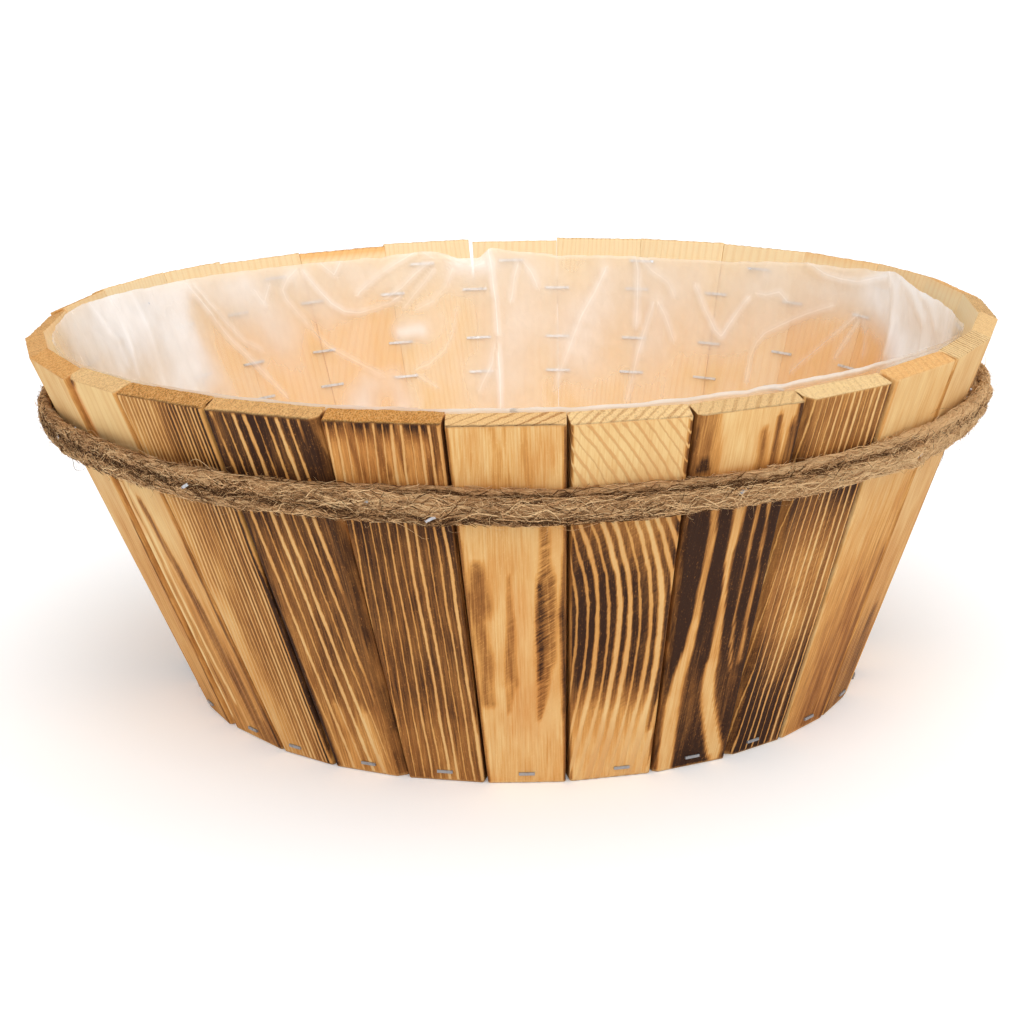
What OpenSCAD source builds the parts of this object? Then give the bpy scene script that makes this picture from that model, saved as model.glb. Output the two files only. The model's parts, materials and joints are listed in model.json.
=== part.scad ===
// Flared round planter basket. Square-edged pine staves stand round a floor board and
// are stapled to it and to each other, a rope is stapled round the outside under the
// rim, and a film liner is stapled inside. Millimetres, +Z up. The origin is the
// middle of the rim, down on the surface that the basket stands on; -Y is the front.

/* [Basket] */
// Width across the outer corners of the rim
rim_d = 400; // [340:5:520]
// Width across the outer corners of the foot
foot_d = 283.5; // [220:0.5:330]
// Height of the rim's outer edge
basket_h = 152.5; // [120:0.5:240]
// How far the foot stands to the right of the rim's middle, as the basket was built
foot_shift = 4.2; // [0:0.1:8]

/* [Staves] */
// Thickness of a stave
stave_t = 8; // [6:0.5:12]
// Gap left between two neighbouring staves
joint_gap = 0.3; // [0.2:0.05:1]
// Gap at the top of the one joint that has opened
open_gap = 2; // [0.3:0.1:4]
// Most that a stave's top stands above or below the rim line
rim_step = 1.2; // [0:0.1:3]
// Most that a stave stands in front of its neighbours, or behind them
proud_step = 0.4; // [0:0.1:0.8]
// Widest bevel along a stave's outer edge
bevel_w = 3.5; // [0.5:0.1:5]

/* [Floor] */
// Thickness of the floor board
floor_t = 9; // [6:0.5:16]
// Clearance between the floor board and the nearest stave
floor_gap = 0.2; // [0.1:0.1:1]

/* [Liner] */
// Thickness that the film takes up with its small folds
film_t = 0.4; // [0.2:0.1:1]
// Clearance between the film and the wood
film_gap = 0.3; // [0.2:0.1:1]
// Distance from the lowest inner edge of the rim down to the film's edge
film_drop = 5; // [3:0.5:20]

/* [Rope] */
// Height of the rope, measured along the staves that it is pressed against
rope_w = 13; // [8:0.5:18]
// Thickness of the rope, square to the staves
rope_t = 7; // [4:0.5:12]
// Distance from the rim down to the rope's centre line, on the mean
rope_drop = 28; // [12:0.5:60]
// How much higher than its mean height the rope runs at the left
rope_lift = 1.2; // [0:0.1:3]
// How much lower than its mean height the rope runs at the front
rope_dip = 2.4; // [0:0.1:4]
// Clearance between the rope and the proudest stave
rope_gap = 0.2; // [0.1:0.1:1]
// Space between the two cut ends of the rope
rope_break = 3; // [1:0.5:20]

/* [Staples] */
// Thickness of the staple wire, as it stands off the wood
wire_t = 0.8; // [0.5:0.1:1.2]
// Width of the staple wire
wire_w = 1.1; // [0.6:0.1:1.6]
// Width of the staples across the joints and along the film
wide_crown = 12; // [8:0.5:14]
// Leg length of the staples across the joints and along the film
wide_leg = 5.5; // [4:0.5:5.5]
// Width of the staples in the foot and in the rope
narrow_crown = 6; // [4:0.5:8]
// Leg length of the staples in the foot
foot_leg = 22; // [14:1:30]
// Depth that a rope staple's crown is pulled into the rope
rope_sink = 0.9; // [0.5:0.1:2]
// Depth that a rope staple's legs reach into the stave
rope_bite = 5.5; // [3:0.5:5.5]
// Slant of the rope staples' crowns, in degrees
rope_slant = 30; // [0:5:90]

/* [Hidden] */
// Each stave's share of the circle at the rim, from the left of the front round to the right
rim_shares = [
    13.7, 10.7, 12.8, 13.4, 12.4, 12.2, 12.7, 12.6, 12.4, 12.5, 12.8, 11.9, 13.2, 12.7,
    12.4, 14.4, 14.0, 13.1, 12.8, 12.9, 13.1, 13.4, 13.5, 10.7, 13.8, 12.6, 14.4, 12.9];
// The same at the foot
foot_shares = [
    10.6, 15.3, 11.0, 12.8, 12.5, 12.5, 13.3, 13.2, 12.0, 12.3, 10.7, 12.9, 13.2, 12.9,
    12.2, 14.6, 13.6, 13.4, 12.6, 13.3, 13.0, 13.5, 13.2, 11.6, 13.5, 12.9, 14.2, 13.2];
// How far each stave's top is off the rim line, as a share of rim_step
top_shares = [
    0.1, 0.6, 0.5, 0.3, 0, -0.6, -0.8, -0.7, -0.5, 0.3, 0.6, 0.4, 0.3, 0.2,
    0.3, 0.1, 0, 0.4, 0.2, -0.8, 0.2, -0.6, -0.3, 0.5, 0.6, 0.1, -0.9, -0.4];
// How far each stave stands forward or back, as a share of proud_step
proud_shares = [
    1, -0.4, 0.2, 0.8, -0.6, 0.2, -0.3, 0.6, -0.5, 0.3, -0.2, -0.6, -1, -0.7,
    0.1, -0.3, 0.3, -0.6, 0.4, 0, 0.7, -0.4, 0.5, -0.2, 0.3, 0.4, 1, 0.9];
// Bevels on the left and right outer edges, as shares of bevel_w
left_bevel_shares = [
    0.16, 0.86, 0.16, 0.2, 0.16, 0.16, 0.18, 0.43, 1, 0.16, 0.2, 0.16, 0.16, 0.3,
    0.16, 0.2, 0.16, 0.16, 0.4, 0.16, 0.16, 0.2, 0.16, 0.16, 0.2, 0.16, 0.5, 0.16];
right_bevel_shares = [
    0.2, 0.16, 0.16, 0.86, 0.16, 0.16, 0.16, 0.2, 0.16, 0.16, 0.16, 0.4, 0.16, 0.16,
    0.16, 0.16, 0.5, 0.16, 0.16, 0.2, 0.16, 0.16, 0.3, 0.16, 0.16, 0.16, 0.2, 0.16];
// How far the flame has browned each stave, from pale to burnt
burn_shares = [
    0.15, 0.35, 0.6, 0.85, 0.75, 0.25, 0.4, 0.7, 0.5, 0.35, 0.45, 0.2, 0.5, 0.7,
    0.3, 0.6, 0.4, 0.8, 0.25, 0.5, 0.65, 0.35, 0.55, 0.3, 0.7, 0.4, 0.6, 0.3];
// Heights of the joint staples, as shares of the basket's height
joint_row_shares = [0.865, 0.715, 0.61, 0.3];
// How far each foot staple is right of its stave's middle, as a share of the stave's width
foot_place_shares = [
    -0.19, 0.02, -0.19, 0.02, 0, 0, 0.13, 0, -0.08, 0.06, 0.2, -0.1, 0.05, 0,
    0.1, -0.05, 0.15, -0.1, 0, 0.05, -0.15, 0.1, 0, -0.05, 0.1, -0.1, 0.05, 0];
// Places of the rope staples, counted in staves and shares of a stave, each with its
// rise over the rope's centre line as a share of the rope's half height
rope_place_shares = [
    [1.5, 0.1], [3.66, 0], [5.35, 0.45], [5.88, -0.4], [8.4, 0.2], [10.5, -0.1], [12.5, 0.2],
    [14.4, 0], [16.5, -0.2], [18.3, 0.1], [19.3, 0], [19.7, 0.1], [21.5, -0.2], [23.4, 0.2],
    [25.5, 0], [27.4, 0.1]];
// Places of the liner staples, counted in staves and shares of a stave
film_place_shares = [1.4, 4.5, 7.4, 10.6, 13.5, 15.7, 17.5, 18.95, 20.54, 21.6, 23.4, 25.6];

// Angles of the first joint at the rim and at the foot, from the front towards the right
rim_start_angle = -69.9;
foot_start_angle = -69.3;
// Joint that has opened: the right edge of this stave and the left edge of the next
open_joint_index = 20;
// Stave whose middle has the two ends of the rope in front of it
rope_end_index = 19;
// Distance from the film's edge down to its staples, in film drops
film_row_share = 0.75;
// Height of the foot staples, as a share of the floor's thickness
foot_row_share = 0.48;
// Length that a cut runs past what it cuts
overrun = 1;
// Facets round the floor, the film and the rope, and round the rope's section
round_fn = 96;
rope_fn = 32;

pale = [0.93, 0.76, 0.5];
burnt = [0.33, 0.18, 0.08];

stave_count = len(rim_shares);
lean = atan((rim_d - foot_d) / 2 / basket_h);
// Thickness of a leaning stave, measured level
level_t = stave_t / cos(lean);
// Radius of the line where two staves touch, at the foot and at any height
foot_r = foot_d / 2 - level_t;
function inner_r(z) = foot_r + z * tan(lean);
// The basket's middle at any height, from the rim's middle towards the right
function middle(z) = foot_shift * (1 - z / basket_h);

function before(shares, n) = n == 0 ? 0 : before(shares, n - 1) + shares[n - 1];
function turn(shares, n) = 360 * before(shares, n) / before(shares, stave_count);
// Angles of the joint to the right of stave n, at the rim, at the foot and between them
function rim_joint(n) = rim_start_angle + turn(rim_shares, n);
function foot_joint(n) = foot_start_angle + turn(foot_shares, n);
function joint_at(n, z) = foot_joint(n) + (rim_joint(n) - foot_joint(n)) * z / basket_h;
function mid_angle(n) =
    (rim_joint(n) + rim_joint(n - 1) + foot_joint(n) + foot_joint(n - 1)) / 4;

// Across a stave's face, from its middle line to the joint at angle a
function across(n, a, z) = inner_r(z) * sin(a - mid_angle(n)) + middle(z) * cos(mid_angle(n));
// Distance from the axis to a stave's inner face, at the foot, at the rim and between them
function face_at(n, a, b, z) =
    inner_r(z) * (cos(a - mid_angle(n)) + cos(b - mid_angle(n))) / 2
    + middle(z) * sin(mid_angle(n));
function foot_face(n) = face_at(n, foot_joint(n - 1), foot_joint(n), 0);
function rim_face(n) = face_at(n, rim_joint(n - 1), rim_joint(n), basket_h);
function tilt(n) = atan((rim_face(n) - foot_face(n)) / basket_h);
function proud(n) = proud_step * proud_shares[n - 1];
function outer_face(n, z) =
    foot_face(n) + z * tan(tilt(n)) + proud(n) + stave_t / cos(tilt(n));

// Largest circle that clears every stave's inner face at a height
widest_half = 180 * max(max(rim_shares), max(foot_shares)) / before(rim_shares, stave_count);
function clear_r(z) = inner_r(z) * cos(widest_half) - proud_step;

film_z = floor_t + film_gap;
rope_z = basket_h - rope_drop;
film_top = basket_h + stave_t * sin(lean) - rim_step - film_drop;
film_row_z = film_top - film_drop * film_row_share;
rope_r = foot_d / 2 + rope_z * tan(lean) + proud_step + (rope_t / 2 + rope_gap) / cos(lean);
rope_break_angle = 360 * rope_break / (2 * PI * rope_r);

// Cuts a bevel along an outer edge that runs from foot_x to top_x; side is -1 for the left
// edge and 1 for the right
module edge_bevel(foot_x, top_x, slant, width, side) {
    block = 2 * stave_t;
    translate([foot_x, 0, stave_t])
        rotate([0, 0, atan((foot_x - top_x) / slant)])
            translate([0, slant / 2, 0])
                rotate([0, 45 * side, 0])
                    translate([0, 0, (block - width * sqrt(2)) / 2])
                        cube([block, slant + block, block], center = true);
}

// One stave, numbered from 1: a tapered board that leans outward, cut level at its foot
module stave(n) {
    top_z = basket_h + rim_step * top_shares[n - 1];
    slant = top_z / cos(tilt(n)) + stave_t * tan(tilt(n));
    half_gap = joint_gap / 2;
    spread = (open_gap - joint_gap) / 2;
    foot_left = across(n, foot_joint(n - 1), 0) + half_gap;
    foot_right = across(n, foot_joint(n), 0) - half_gap;
    rim_left = across(n, rim_joint(n - 1), basket_h) + half_gap;
    rim_right = across(n, rim_joint(n), basket_h) - half_gap;
    // How much the board widens at each side for a length along it
    widen_left = (rim_left - foot_left) * cos(tilt(n)) / basket_h;
    widen_right = (rim_right - foot_right) * cos(tilt(n)) / basket_h;
    top_left = foot_left + widen_left * slant + (n == open_joint_index + 1 ? spread : 0);
    top_right = foot_right + widen_right * slant - (n == open_joint_index ? spread : 0);
    cut = stave_t + overrun;
    color(pale + (burnt - pale) * burn_shares[n - 1])
        rotate([0, 0, mid_angle(n)])
            translate([0, -foot_face(n) - proud(n), 0])
                difference() {
                    rotate([90 + tilt(n), 0, 0])
                        difference() {
                            linear_extrude(height = stave_t)
                                polygon([
                                    [foot_left - widen_left * overrun, -overrun],
                                    [foot_right - widen_right * overrun, -overrun],
                                    [top_right, slant], [top_left, slant]]);
                            edge_bevel(foot_left, top_left, slant,
                                bevel_w * left_bevel_shares[n - 1], -1);
                            edge_bevel(foot_right, top_right, slant,
                                bevel_w * right_bevel_shares[n - 1], 1);
                        }
                    translate([foot_left - cut, -level_t - cut, -cut])
                        cube([foot_right - foot_left + 2 * cut, level_t + 2 * cut, cut]);
                }
}

module floor_board() {
    color(pale)
        translate([middle(0), 0, 0])
            cylinder(h = floor_t, r = clear_r(0) - floor_gap, $fn = round_fn);
}

// One staple: its crown stands off y = 0 and its legs run along +Y to chisel points
module staple(crown, leg) {
    out = crown / 2;
    in = out - wire_t;
    translate([0, 0, -wire_w / 2])
        linear_extrude(height = wire_w)
            polygon([
                [-out, -wire_t], [out, -wire_t], [out, leg - wire_t], [in, leg],
                [in, 0], [-in, 0], [-in, leg], [-out, leg - wire_t]]);
}

// Rows of staples inside, one across each joint, with their legs driven outward
module joint_staples() {
    valley = wide_crown / 2 * sin(180 / stave_count) + proud_step / 2;
    color("silver")
        for (n = [1 : stave_count], share = joint_row_shares) {
            z = basket_h * share;
            translate([middle(z), 0, z])
                rotate([0, 0, joint_at(n, z)])
                    translate([0, valley - inner_r(z), 0])
                        rotate([180 + lean, 0, 0])
                            staple(wide_crown, wide_leg);
        }
}

// One staple through the foot of each stave, level, into the edge of the floor board
module foot_staples() {
    z = floor_t * foot_row_share;
    color("silver")
        for (n = [1 : stave_count]) {
            left = across(n, foot_joint(n - 1), 0);
            right = across(n, foot_joint(n), 0);
            place = (left + right) / 2 + (right - left) * foot_place_shares[n - 1];
            rotate([0, 0, mid_angle(n)])
                translate([place, -outer_face(n, z), z])
                    staple(narrow_crown, foot_leg);
        }
}

// Film bag that lines the staves and the floor, open at the top. Its rings stay level and
// move over with height, as the basket's middle does.
module liner() {
    wall = film_t / cos(lean);
    inside_z = film_z + film_t;
    drift = foot_shift / basket_h;
    color([0.96, 0.93, 0.9, 0.5])
        multmatrix([[1, 0, -drift, foot_shift], [0, 1, 0, 0], [0, 0, 1, 0]])
            rotate_extrude($fn = round_fn)
                polygon([
                    [0, film_z],
                    [clear_r(film_z) - film_gap, film_z],
                    [clear_r(film_top) - film_gap, film_top],
                    [clear_r(film_top) - film_gap - wall, film_top],
                    [clear_r(inside_z) - film_gap - wall, inside_z],
                    [0, inside_z]]);
}

// Staples that hold the film's edge, with their legs driven through it into the staves
module liner_staples() {
    film_r = clear_r(film_row_z) - film_gap - film_t / cos(lean);
    color("silver")
        for (place = film_place_shares) {
            n = floor(place);
            angle = joint_at(n - 1, film_row_z)
                + (place - n) * (joint_at(n, film_row_z) - joint_at(n - 1, film_row_z));
            translate([middle(film_row_z), 0, film_row_z])
                rotate([0, 0, angle])
                    translate([0, -film_r, 0])
                        rotate([180 + lean, 0, 0])
                            staple(wide_crown, wide_leg);
        }
}

// The rope's middle, moved over so that the tilted ring lies evenly against the staves
rope_middle = [middle(rope_z) - rope_lift * tan(lean), rope_dip * tan(lean), rope_z];
// Height of the rope's centre line over its middle at an angle
function rope_rise(a) = -rope_lift * sin(a) - rope_dip * cos(a);

// Rope laid once round the outside, flattened against the staves; its ends meet at the back
module rope() {
    half = (rope_w - rope_t) / 2;
    color([0.6, 0.48, 0.33])
        translate(rope_middle)
            rotate([atan(rope_dip / rope_r), atan(rope_lift / rope_r), 0])
                rotate([0, 0, mid_angle(rope_end_index) - 90 + rope_break_angle / 2])
                    rotate_extrude(angle = 360 - rope_break_angle, $fn = round_fn)
                        translate([rope_r, 0])
                            rotate([0, 0, -lean]) {
                                for (side = [-1, 1])
                                    translate([0, side * half])
                                        circle(d = rope_t, $fn = rope_fn);
                                square([rope_t, 2 * half], center = true);
                            }
}

// Staples shot through the rope into the staves, with their crowns sunk in the rope
module rope_staples() {
    color("silver")
        for (place = rope_place_shares) {
            n = floor(place[0]);
            angle = joint_at(n - 1, rope_z)
                + (place[0] - n) * (joint_at(n, rope_z) - joint_at(n - 1, rope_z));
            translate(rope_middle)
                rotate([0, 0, angle])
                    translate([0, -rope_r, rope_rise(angle)])
                        rotate([lean, 0, 0])
                            translate([0, rope_sink - rope_t / 2, place[1] * rope_w / 2])
                                rotate([0, -rope_slant, 0])
                                    staple(narrow_crown, rope_t - rope_sink + rope_bite);
        }
}

stave(1);  // stave_01
stave(2);  // stave_02
stave(3);  // stave_03
stave(4);  // stave_04
stave(5);  // stave_05
stave(6);  // stave_06
stave(7);  // stave_07
stave(8);  // stave_08
stave(9);  // stave_09
stave(10);  // stave_10
stave(11);  // stave_11
stave(12);  // stave_12
stave(13);  // stave_13
stave(14);  // stave_14
stave(15);  // stave_15
stave(16);  // stave_16
stave(17);  // stave_17
stave(18);  // stave_18
stave(19);  // stave_19
stave(20);  // stave_20
stave(21);  // stave_21
stave(22);  // stave_22
stave(23);  // stave_23
stave(24);  // stave_24
stave(25);  // stave_25
stave(26);  // stave_26
stave(27);  // stave_27
stave(28);  // stave_28
floor_board();
joint_staples();
foot_staples();
liner();
liner_staples();
rope();
rope_staples();
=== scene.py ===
import json
import math

import bmesh
import bpy
import numpy as np
from mathutils import Matrix, Vector


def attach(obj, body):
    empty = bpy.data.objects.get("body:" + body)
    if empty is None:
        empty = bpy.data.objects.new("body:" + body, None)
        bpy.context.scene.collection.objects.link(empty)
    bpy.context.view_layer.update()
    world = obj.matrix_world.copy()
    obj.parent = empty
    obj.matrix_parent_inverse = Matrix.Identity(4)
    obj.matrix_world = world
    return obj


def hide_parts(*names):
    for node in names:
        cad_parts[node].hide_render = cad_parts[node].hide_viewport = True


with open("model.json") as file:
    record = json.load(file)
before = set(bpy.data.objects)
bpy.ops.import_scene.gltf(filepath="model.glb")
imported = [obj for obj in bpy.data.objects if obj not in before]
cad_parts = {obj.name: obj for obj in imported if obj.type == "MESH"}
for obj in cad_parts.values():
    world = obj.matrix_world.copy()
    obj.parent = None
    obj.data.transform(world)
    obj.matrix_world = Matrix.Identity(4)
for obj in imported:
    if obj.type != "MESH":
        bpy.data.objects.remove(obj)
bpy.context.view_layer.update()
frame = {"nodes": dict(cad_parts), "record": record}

bl_info = {
    "name": "Stave basket with rope and film",
    "version": (1, 0, 0),
    "blender": (4, 5, 0),
    "location": "View3D > Sidebar > Basket",
    "description": "Dresses a round basket of burnt pine staves with its rope, film and staples",
    "category": "Add Mesh",
}

MM = 0.001
LEAN = math.radians(20.905)
SLOTS = {part["node"]: part["material_slot"] for part in frame["record"]["subparts"]}


# Sizes and colours that a user may change

def srgb(red, green, blue):
    """A colour written in 0 to 255 as it looks, in the linear values that a shader takes."""
    return tuple(
        c / 255 / 12.92 if c <= 10.3 else ((c / 255 + 0.055) / 1.055) ** 2.4
        for c in (red, green, blue)
    )


def ink(red, green, blue):
    """The same with an alpha of 1."""
    return (*srgb(red, green, blue), 1)


def length(name, description, default):
    return bpy.props.FloatProperty(
        name=name, description=description, default=default * MM, subtype="DISTANCE",
        unit="LENGTH", precision=5, min=0,
    )


def colour(name, description, *default):
    return bpy.props.FloatVectorProperty(
        name=name, description=description, default=srgb(*default), subtype="COLOR",
        size=3, min=0, max=1,
    )


class BasketStaveSettings(bpy.types.PropertyGroup):
    grain_cell: length("Grain cell", "Distance between the cuts across a stave", 0.85)
    length_cell: length("Length cell", "Distance between the cuts along a stave", 3.2)
    edge_round: length("Edge round", "Radius that wear has put on the sawn edges", 0.25)
    ridge: length("Ridge", "Height of the hard grain lines that brushing leaves", 0.3)
    pale_wood: colour("Pale wood", "Pine that the flame hasn't touched", 240, 208, 148)
    golden_wood: colour("Golden wood", "Pine that the flame has warmed", 218, 160, 88)
    char_wood: colour("Char", "Pine burnt between its grain lines", 56, 33, 19)
    fresh_wood: colour("Fresh wood", "Pale pine inside the basket", 244, 222, 180)
    sawn_wood: colour("Sawn end", "End grain on top of the staves", 246, 209, 152)


class BasketRopeSettings(bpy.types.PropertyGroup):
    width: length("Width", "Height of the rope along the staves", 13)
    thickness: length("Thickness", "Thickness of the rope square to the staves", 7)
    turn: length("Turn", "Length in which a strand goes once round the rope", 1200)
    fibres: bpy.props.IntProperty(
        name="Fibres", description="Long fibres that lie on the rope", default=5200, min=0
    )
    curls: bpy.props.IntProperty(
        name="Curls", description="Short curled fibres that lie every way", default=5000, min=0
    )
    hairs: bpy.props.IntProperty(
        name="Hairs", description="Fine hairs that stand off the rope", default=4200, min=0
    )
    jute: colour("Jute", "Middle colour of the fibres", 196, 148, 100)
    shade: colour("Shade", "Colour deep between the strands", 82, 54, 32)


class BasketLinerSettings(bpy.types.PropertyGroup):
    foot_radius: length("Foot radius", "Radius of the bag on the floor board", 134.8)
    foot_height: length("Foot height", "Height of the bag's bottom", 9.35)
    spread: bpy.props.FloatProperty(
        name="Spread", description="Growth of the radius for each unit of height",
        default=0.3786, min=0, max=1,
    )
    crinkle: length("Crinkle", "Depth of the small crinkles", 0.35)
    film: colour("Film", "Milky colour of the film", 250, 238, 224)


class BasketStageSettings(bpy.types.PropertyGroup):
    lamp_power: bpy.props.FloatProperty(
        name="Lamp strength", description="Strength of the main soft light", default=1.45, min=0
    )
    sky: bpy.props.FloatProperty(
        name="Sky", description="Strength of the light from all round", default=0.68, min=0
    )
    floor: colour("Floor", "Colour of the floor", 247, 247, 247)


# Seeded noise and small helpers for numbers

def grain_noise(x, y, seed):
    """Smooth noise from -1 to 1 on a grid of whole numbers, the same on every run."""
    left, low = np.floor(x).astype(np.int64), np.floor(y).astype(np.int64)
    part_x, part_y = x - left, y - low
    part_x, part_y = part_x**2 * (3 - 2 * part_x), part_y**2 * (3 - 2 * part_y)

    def corner(i, j):
        k = (i * 374761393 + j * 668265263 + seed * 1442695041) & 0x7FFFFFFF
        k = ((k ^ (k >> 13)) * 1274126177) & 0x7FFFFFFF
        return ((k ^ (k >> 16)) & 0xFFFF) / 32767.5 - 1

    low_row = corner(left, low) * (1 - part_x) + corner(left + 1, low) * part_x
    high_row = corner(left, low + 1) * (1 - part_x) + corner(left + 1, low + 1) * part_x
    return low_row * (1 - part_y) + high_row * part_y


def cloud(x, y, seed, octaves=3):
    """Smooth noise with finer noise on top, from -1 to 1."""
    return sum(
        grain_noise(x * 2**k, y * 2**k, seed + 17 * k) / 2**k for k in range(octaves)
    ) / (2 - 2 ** (1 - octaves))


def ease(low, high, x):
    """A smooth step from 0 at the low value to 1 at the high one."""
    t = np.clip((x - low) / (high - low), 0, 1)
    return t * t * (3 - 2 * t)


def reach(x, y, points, start, end, signed=False):
    """Distance from each place to a line of points, as a share of a radius.

    The radius runs from start to end along the line; signed also gives the side.
    """
    best, hand = np.full(np.shape(x), 1e9), np.ones(np.shape(x))
    steps = max(len(points) - 1, 1)
    ends = points[1:] or points
    for k, (a, b) in enumerate(zip(points, ends)):
        along = np.array(b, float) - np.array(a, float)
        size = max(float(along @ along), 1e-9)
        t = np.clip(((x - a[0]) * along[0] + (y - a[1]) * along[1]) / size, 0, 1)
        radius = start + (end - start) * (k + t) / steps
        away = np.hypot(x - a[0] - t * along[0], y - a[1] - t * along[1]) / radius
        if signed:
            side = np.sign((x - a[0]) * along[1] - (y - a[1]) * along[0])
            hand = np.where(away < best, side, hand)
        best = np.minimum(best, away)
    return (best, hand) if signed else best


def vectors_of(rows, field):
    flat = np.empty(len(rows) * 3)
    rows.foreach_get(field, flat)
    return flat.reshape(-1, 3)


def places_of(mesh):
    return vectors_of(mesh.vertices, "co")


def move_to(mesh, places):
    mesh.vertices.foreach_set("co", np.ascontiguousarray(places, float).ravel())
    mesh.update()


def keep(mesh, name, values):
    """Stores a number or a vector for each vertex, for the materials to read."""
    values = np.asarray(values, float)
    kind, field = ("FLOAT_VECTOR", "vector") if values.ndim == 2 else ("FLOAT", "value")
    layer = mesh.attributes.new(name, kind, "POINT")
    layer.data.foreach_set(field, np.ascontiguousarray(values).ravel())


def mesh_from(shape, name):
    """A mesh from a bmesh, which is freed."""
    mesh = bpy.data.meshes.new(name)
    shape.to_mesh(mesh)
    shape.free()
    return mesh


def linked(name, data):
    """An object in the scene for a mesh, a lamp or a camera."""
    thing = bpy.data.objects.new(name, data)
    bpy.context.scene.collection.objects.link(thing)
    return thing


def piece_from(shape, name, material):
    """A finished smooth piece at the origin from a bmesh, riding on the basket."""
    mesh = mesh_from(shape, name)
    mesh.polygons.foreach_set("use_smooth", [True] * len(mesh.polygons))
    mesh.materials.append(material)
    piece = linked(name, mesh)
    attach(piece, "root")
    return piece


def dress(name, material):
    """Gives a CAD piece that stays as it is a material."""
    for place in frame["nodes"][name].material_slots:
        place.material = material


# Node helpers

def put(tree, kind, inputs=None, **settings):
    """A node with its settings; each input is another node's socket or a value."""
    node = tree.nodes.new(kind)
    for name, value in settings.items():
        setattr(node, name, value)
    for name, value in (inputs or {}).items():
        if isinstance(value, bpy.types.NodeSocket):
            tree.links.new(value, node.inputs[name])
        else:
            node.inputs[name].default_value = value
    return node


def calc(tree, operation, *values, clamp=False):
    node = put(tree, "ShaderNodeMath", dict(enumerate(values)), operation=operation)
    node.use_clamp = clamp
    return node.outputs[0]


def times(tree, value, by, plus=None, clamp=False):
    """A product, and what is added to it."""
    if plus is None:
        return calc(tree, "MULTIPLY", value, by, clamp=clamp)
    return calc(tree, "MULTIPLY_ADD", value, by, plus, clamp=clamp)


def varied(tree, value, texture, amount):
    """A value moved up and down by a texture that runs from 0 to 1."""
    return times(tree, calc(tree, "SUBTRACT", texture, 0.5), amount, value)


def step(tree, value, low, high, to_low=0.0, to_high=1.0):
    return put(tree, "ShaderNodeMapRange", {
        "Value": value, "From Min": low, "From Max": high, "To Min": to_low, "To Max": to_high,
    }, interpolation_type="SMOOTHSTEP").outputs["Result"]


def fade(tree, value, low, high):
    """1 below the low value and 0 above the high one."""
    return calc(tree, "SUBTRACT", 1.0, step(tree, value, low, high))


def blend(tree, share, first, second, how="MIX"):
    return put(tree, "ShaderNodeMix", {0: share, 6: first, 7: second},
               data_type="RGBA", blend_type=how).outputs[2]


def kept(tree, name, output="Fac"):
    """What keep() has stored on the mesh."""
    return put(tree, "ShaderNodeAttribute", attribute_name=name).outputs[output]


def stretched(tree, vector, *scale):
    return put(tree, "ShaderNodeVectorMath", {0: vector, 1: scale},
               operation="MULTIPLY").outputs[0]


def noise(tree, vector, scale=1.0, detail=2.0, roughness=0.5):
    return put(tree, "ShaderNodeTexNoise", {
        "Vector": vector, "Scale": scale, "Detail": detail, "Roughness": roughness,
    }).outputs["Fac"]


def effect(name, inputs, outputs=("Color", "Roughness", "Height")):
    """A node group with named sockets, ready for its nodes."""
    tree = bpy.data.node_groups.new(name, "ShaderNodeTree")
    for label, value in inputs.items():
        kind = "NodeSocketFloat" if isinstance(value, float) else "NodeSocketColor"
        socket = tree.interface.new_socket(label, in_out="INPUT", socket_type=kind)
        socket.default_value = value
    for label in outputs:
        kind = "NodeSocketColor" if label == "Color" else "NodeSocketFloat"
        tree.interface.new_socket(label, in_out="OUTPUT", socket_type=kind)
    return tree, tree.nodes.new("NodeGroupInput").outputs, tree.nodes.new("NodeGroupOutput")


def give(tree, end, **sockets):
    for name, socket in sockets.items():
        tree.links.new(socket, end.inputs[name])


def finish(name, **sockets):
    """A new material, its tree and its shader with some values set."""
    material = bpy.data.materials.new(name)
    material.use_nodes = True
    shader = material.node_tree.nodes["Principled BSDF"]
    for label, value in sockets.items():
        shader.inputs[label.replace("_", " ")].default_value = value
    return material, material.node_tree, shader


def finish_from(name, group, values, relief, **sockets):
    """A material whose shader takes colour, roughness and relief from a group."""
    material, tree, shader = finish(name, **sockets)
    source = put(tree, "ShaderNodeGroup", node_tree=group)
    for label, value in values.items():
        source.inputs[label].default_value = value
    bump = put(tree, "ShaderNodeBump", {"Height": source.outputs["Height"], "Distance": relief})
    tree.links.new(bump.outputs["Normal"], shader.inputs["Normal"])
    for output in ("Color", "Roughness", "Alpha"):
        label = "Base Color" if output == "Color" else output
        if output in source.outputs:
            tree.links.new(source.outputs[output], shader.inputs[label])
    return material


# Pine: one effect for the staves, which are painted vertex by vertex, and one for the floor

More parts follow.
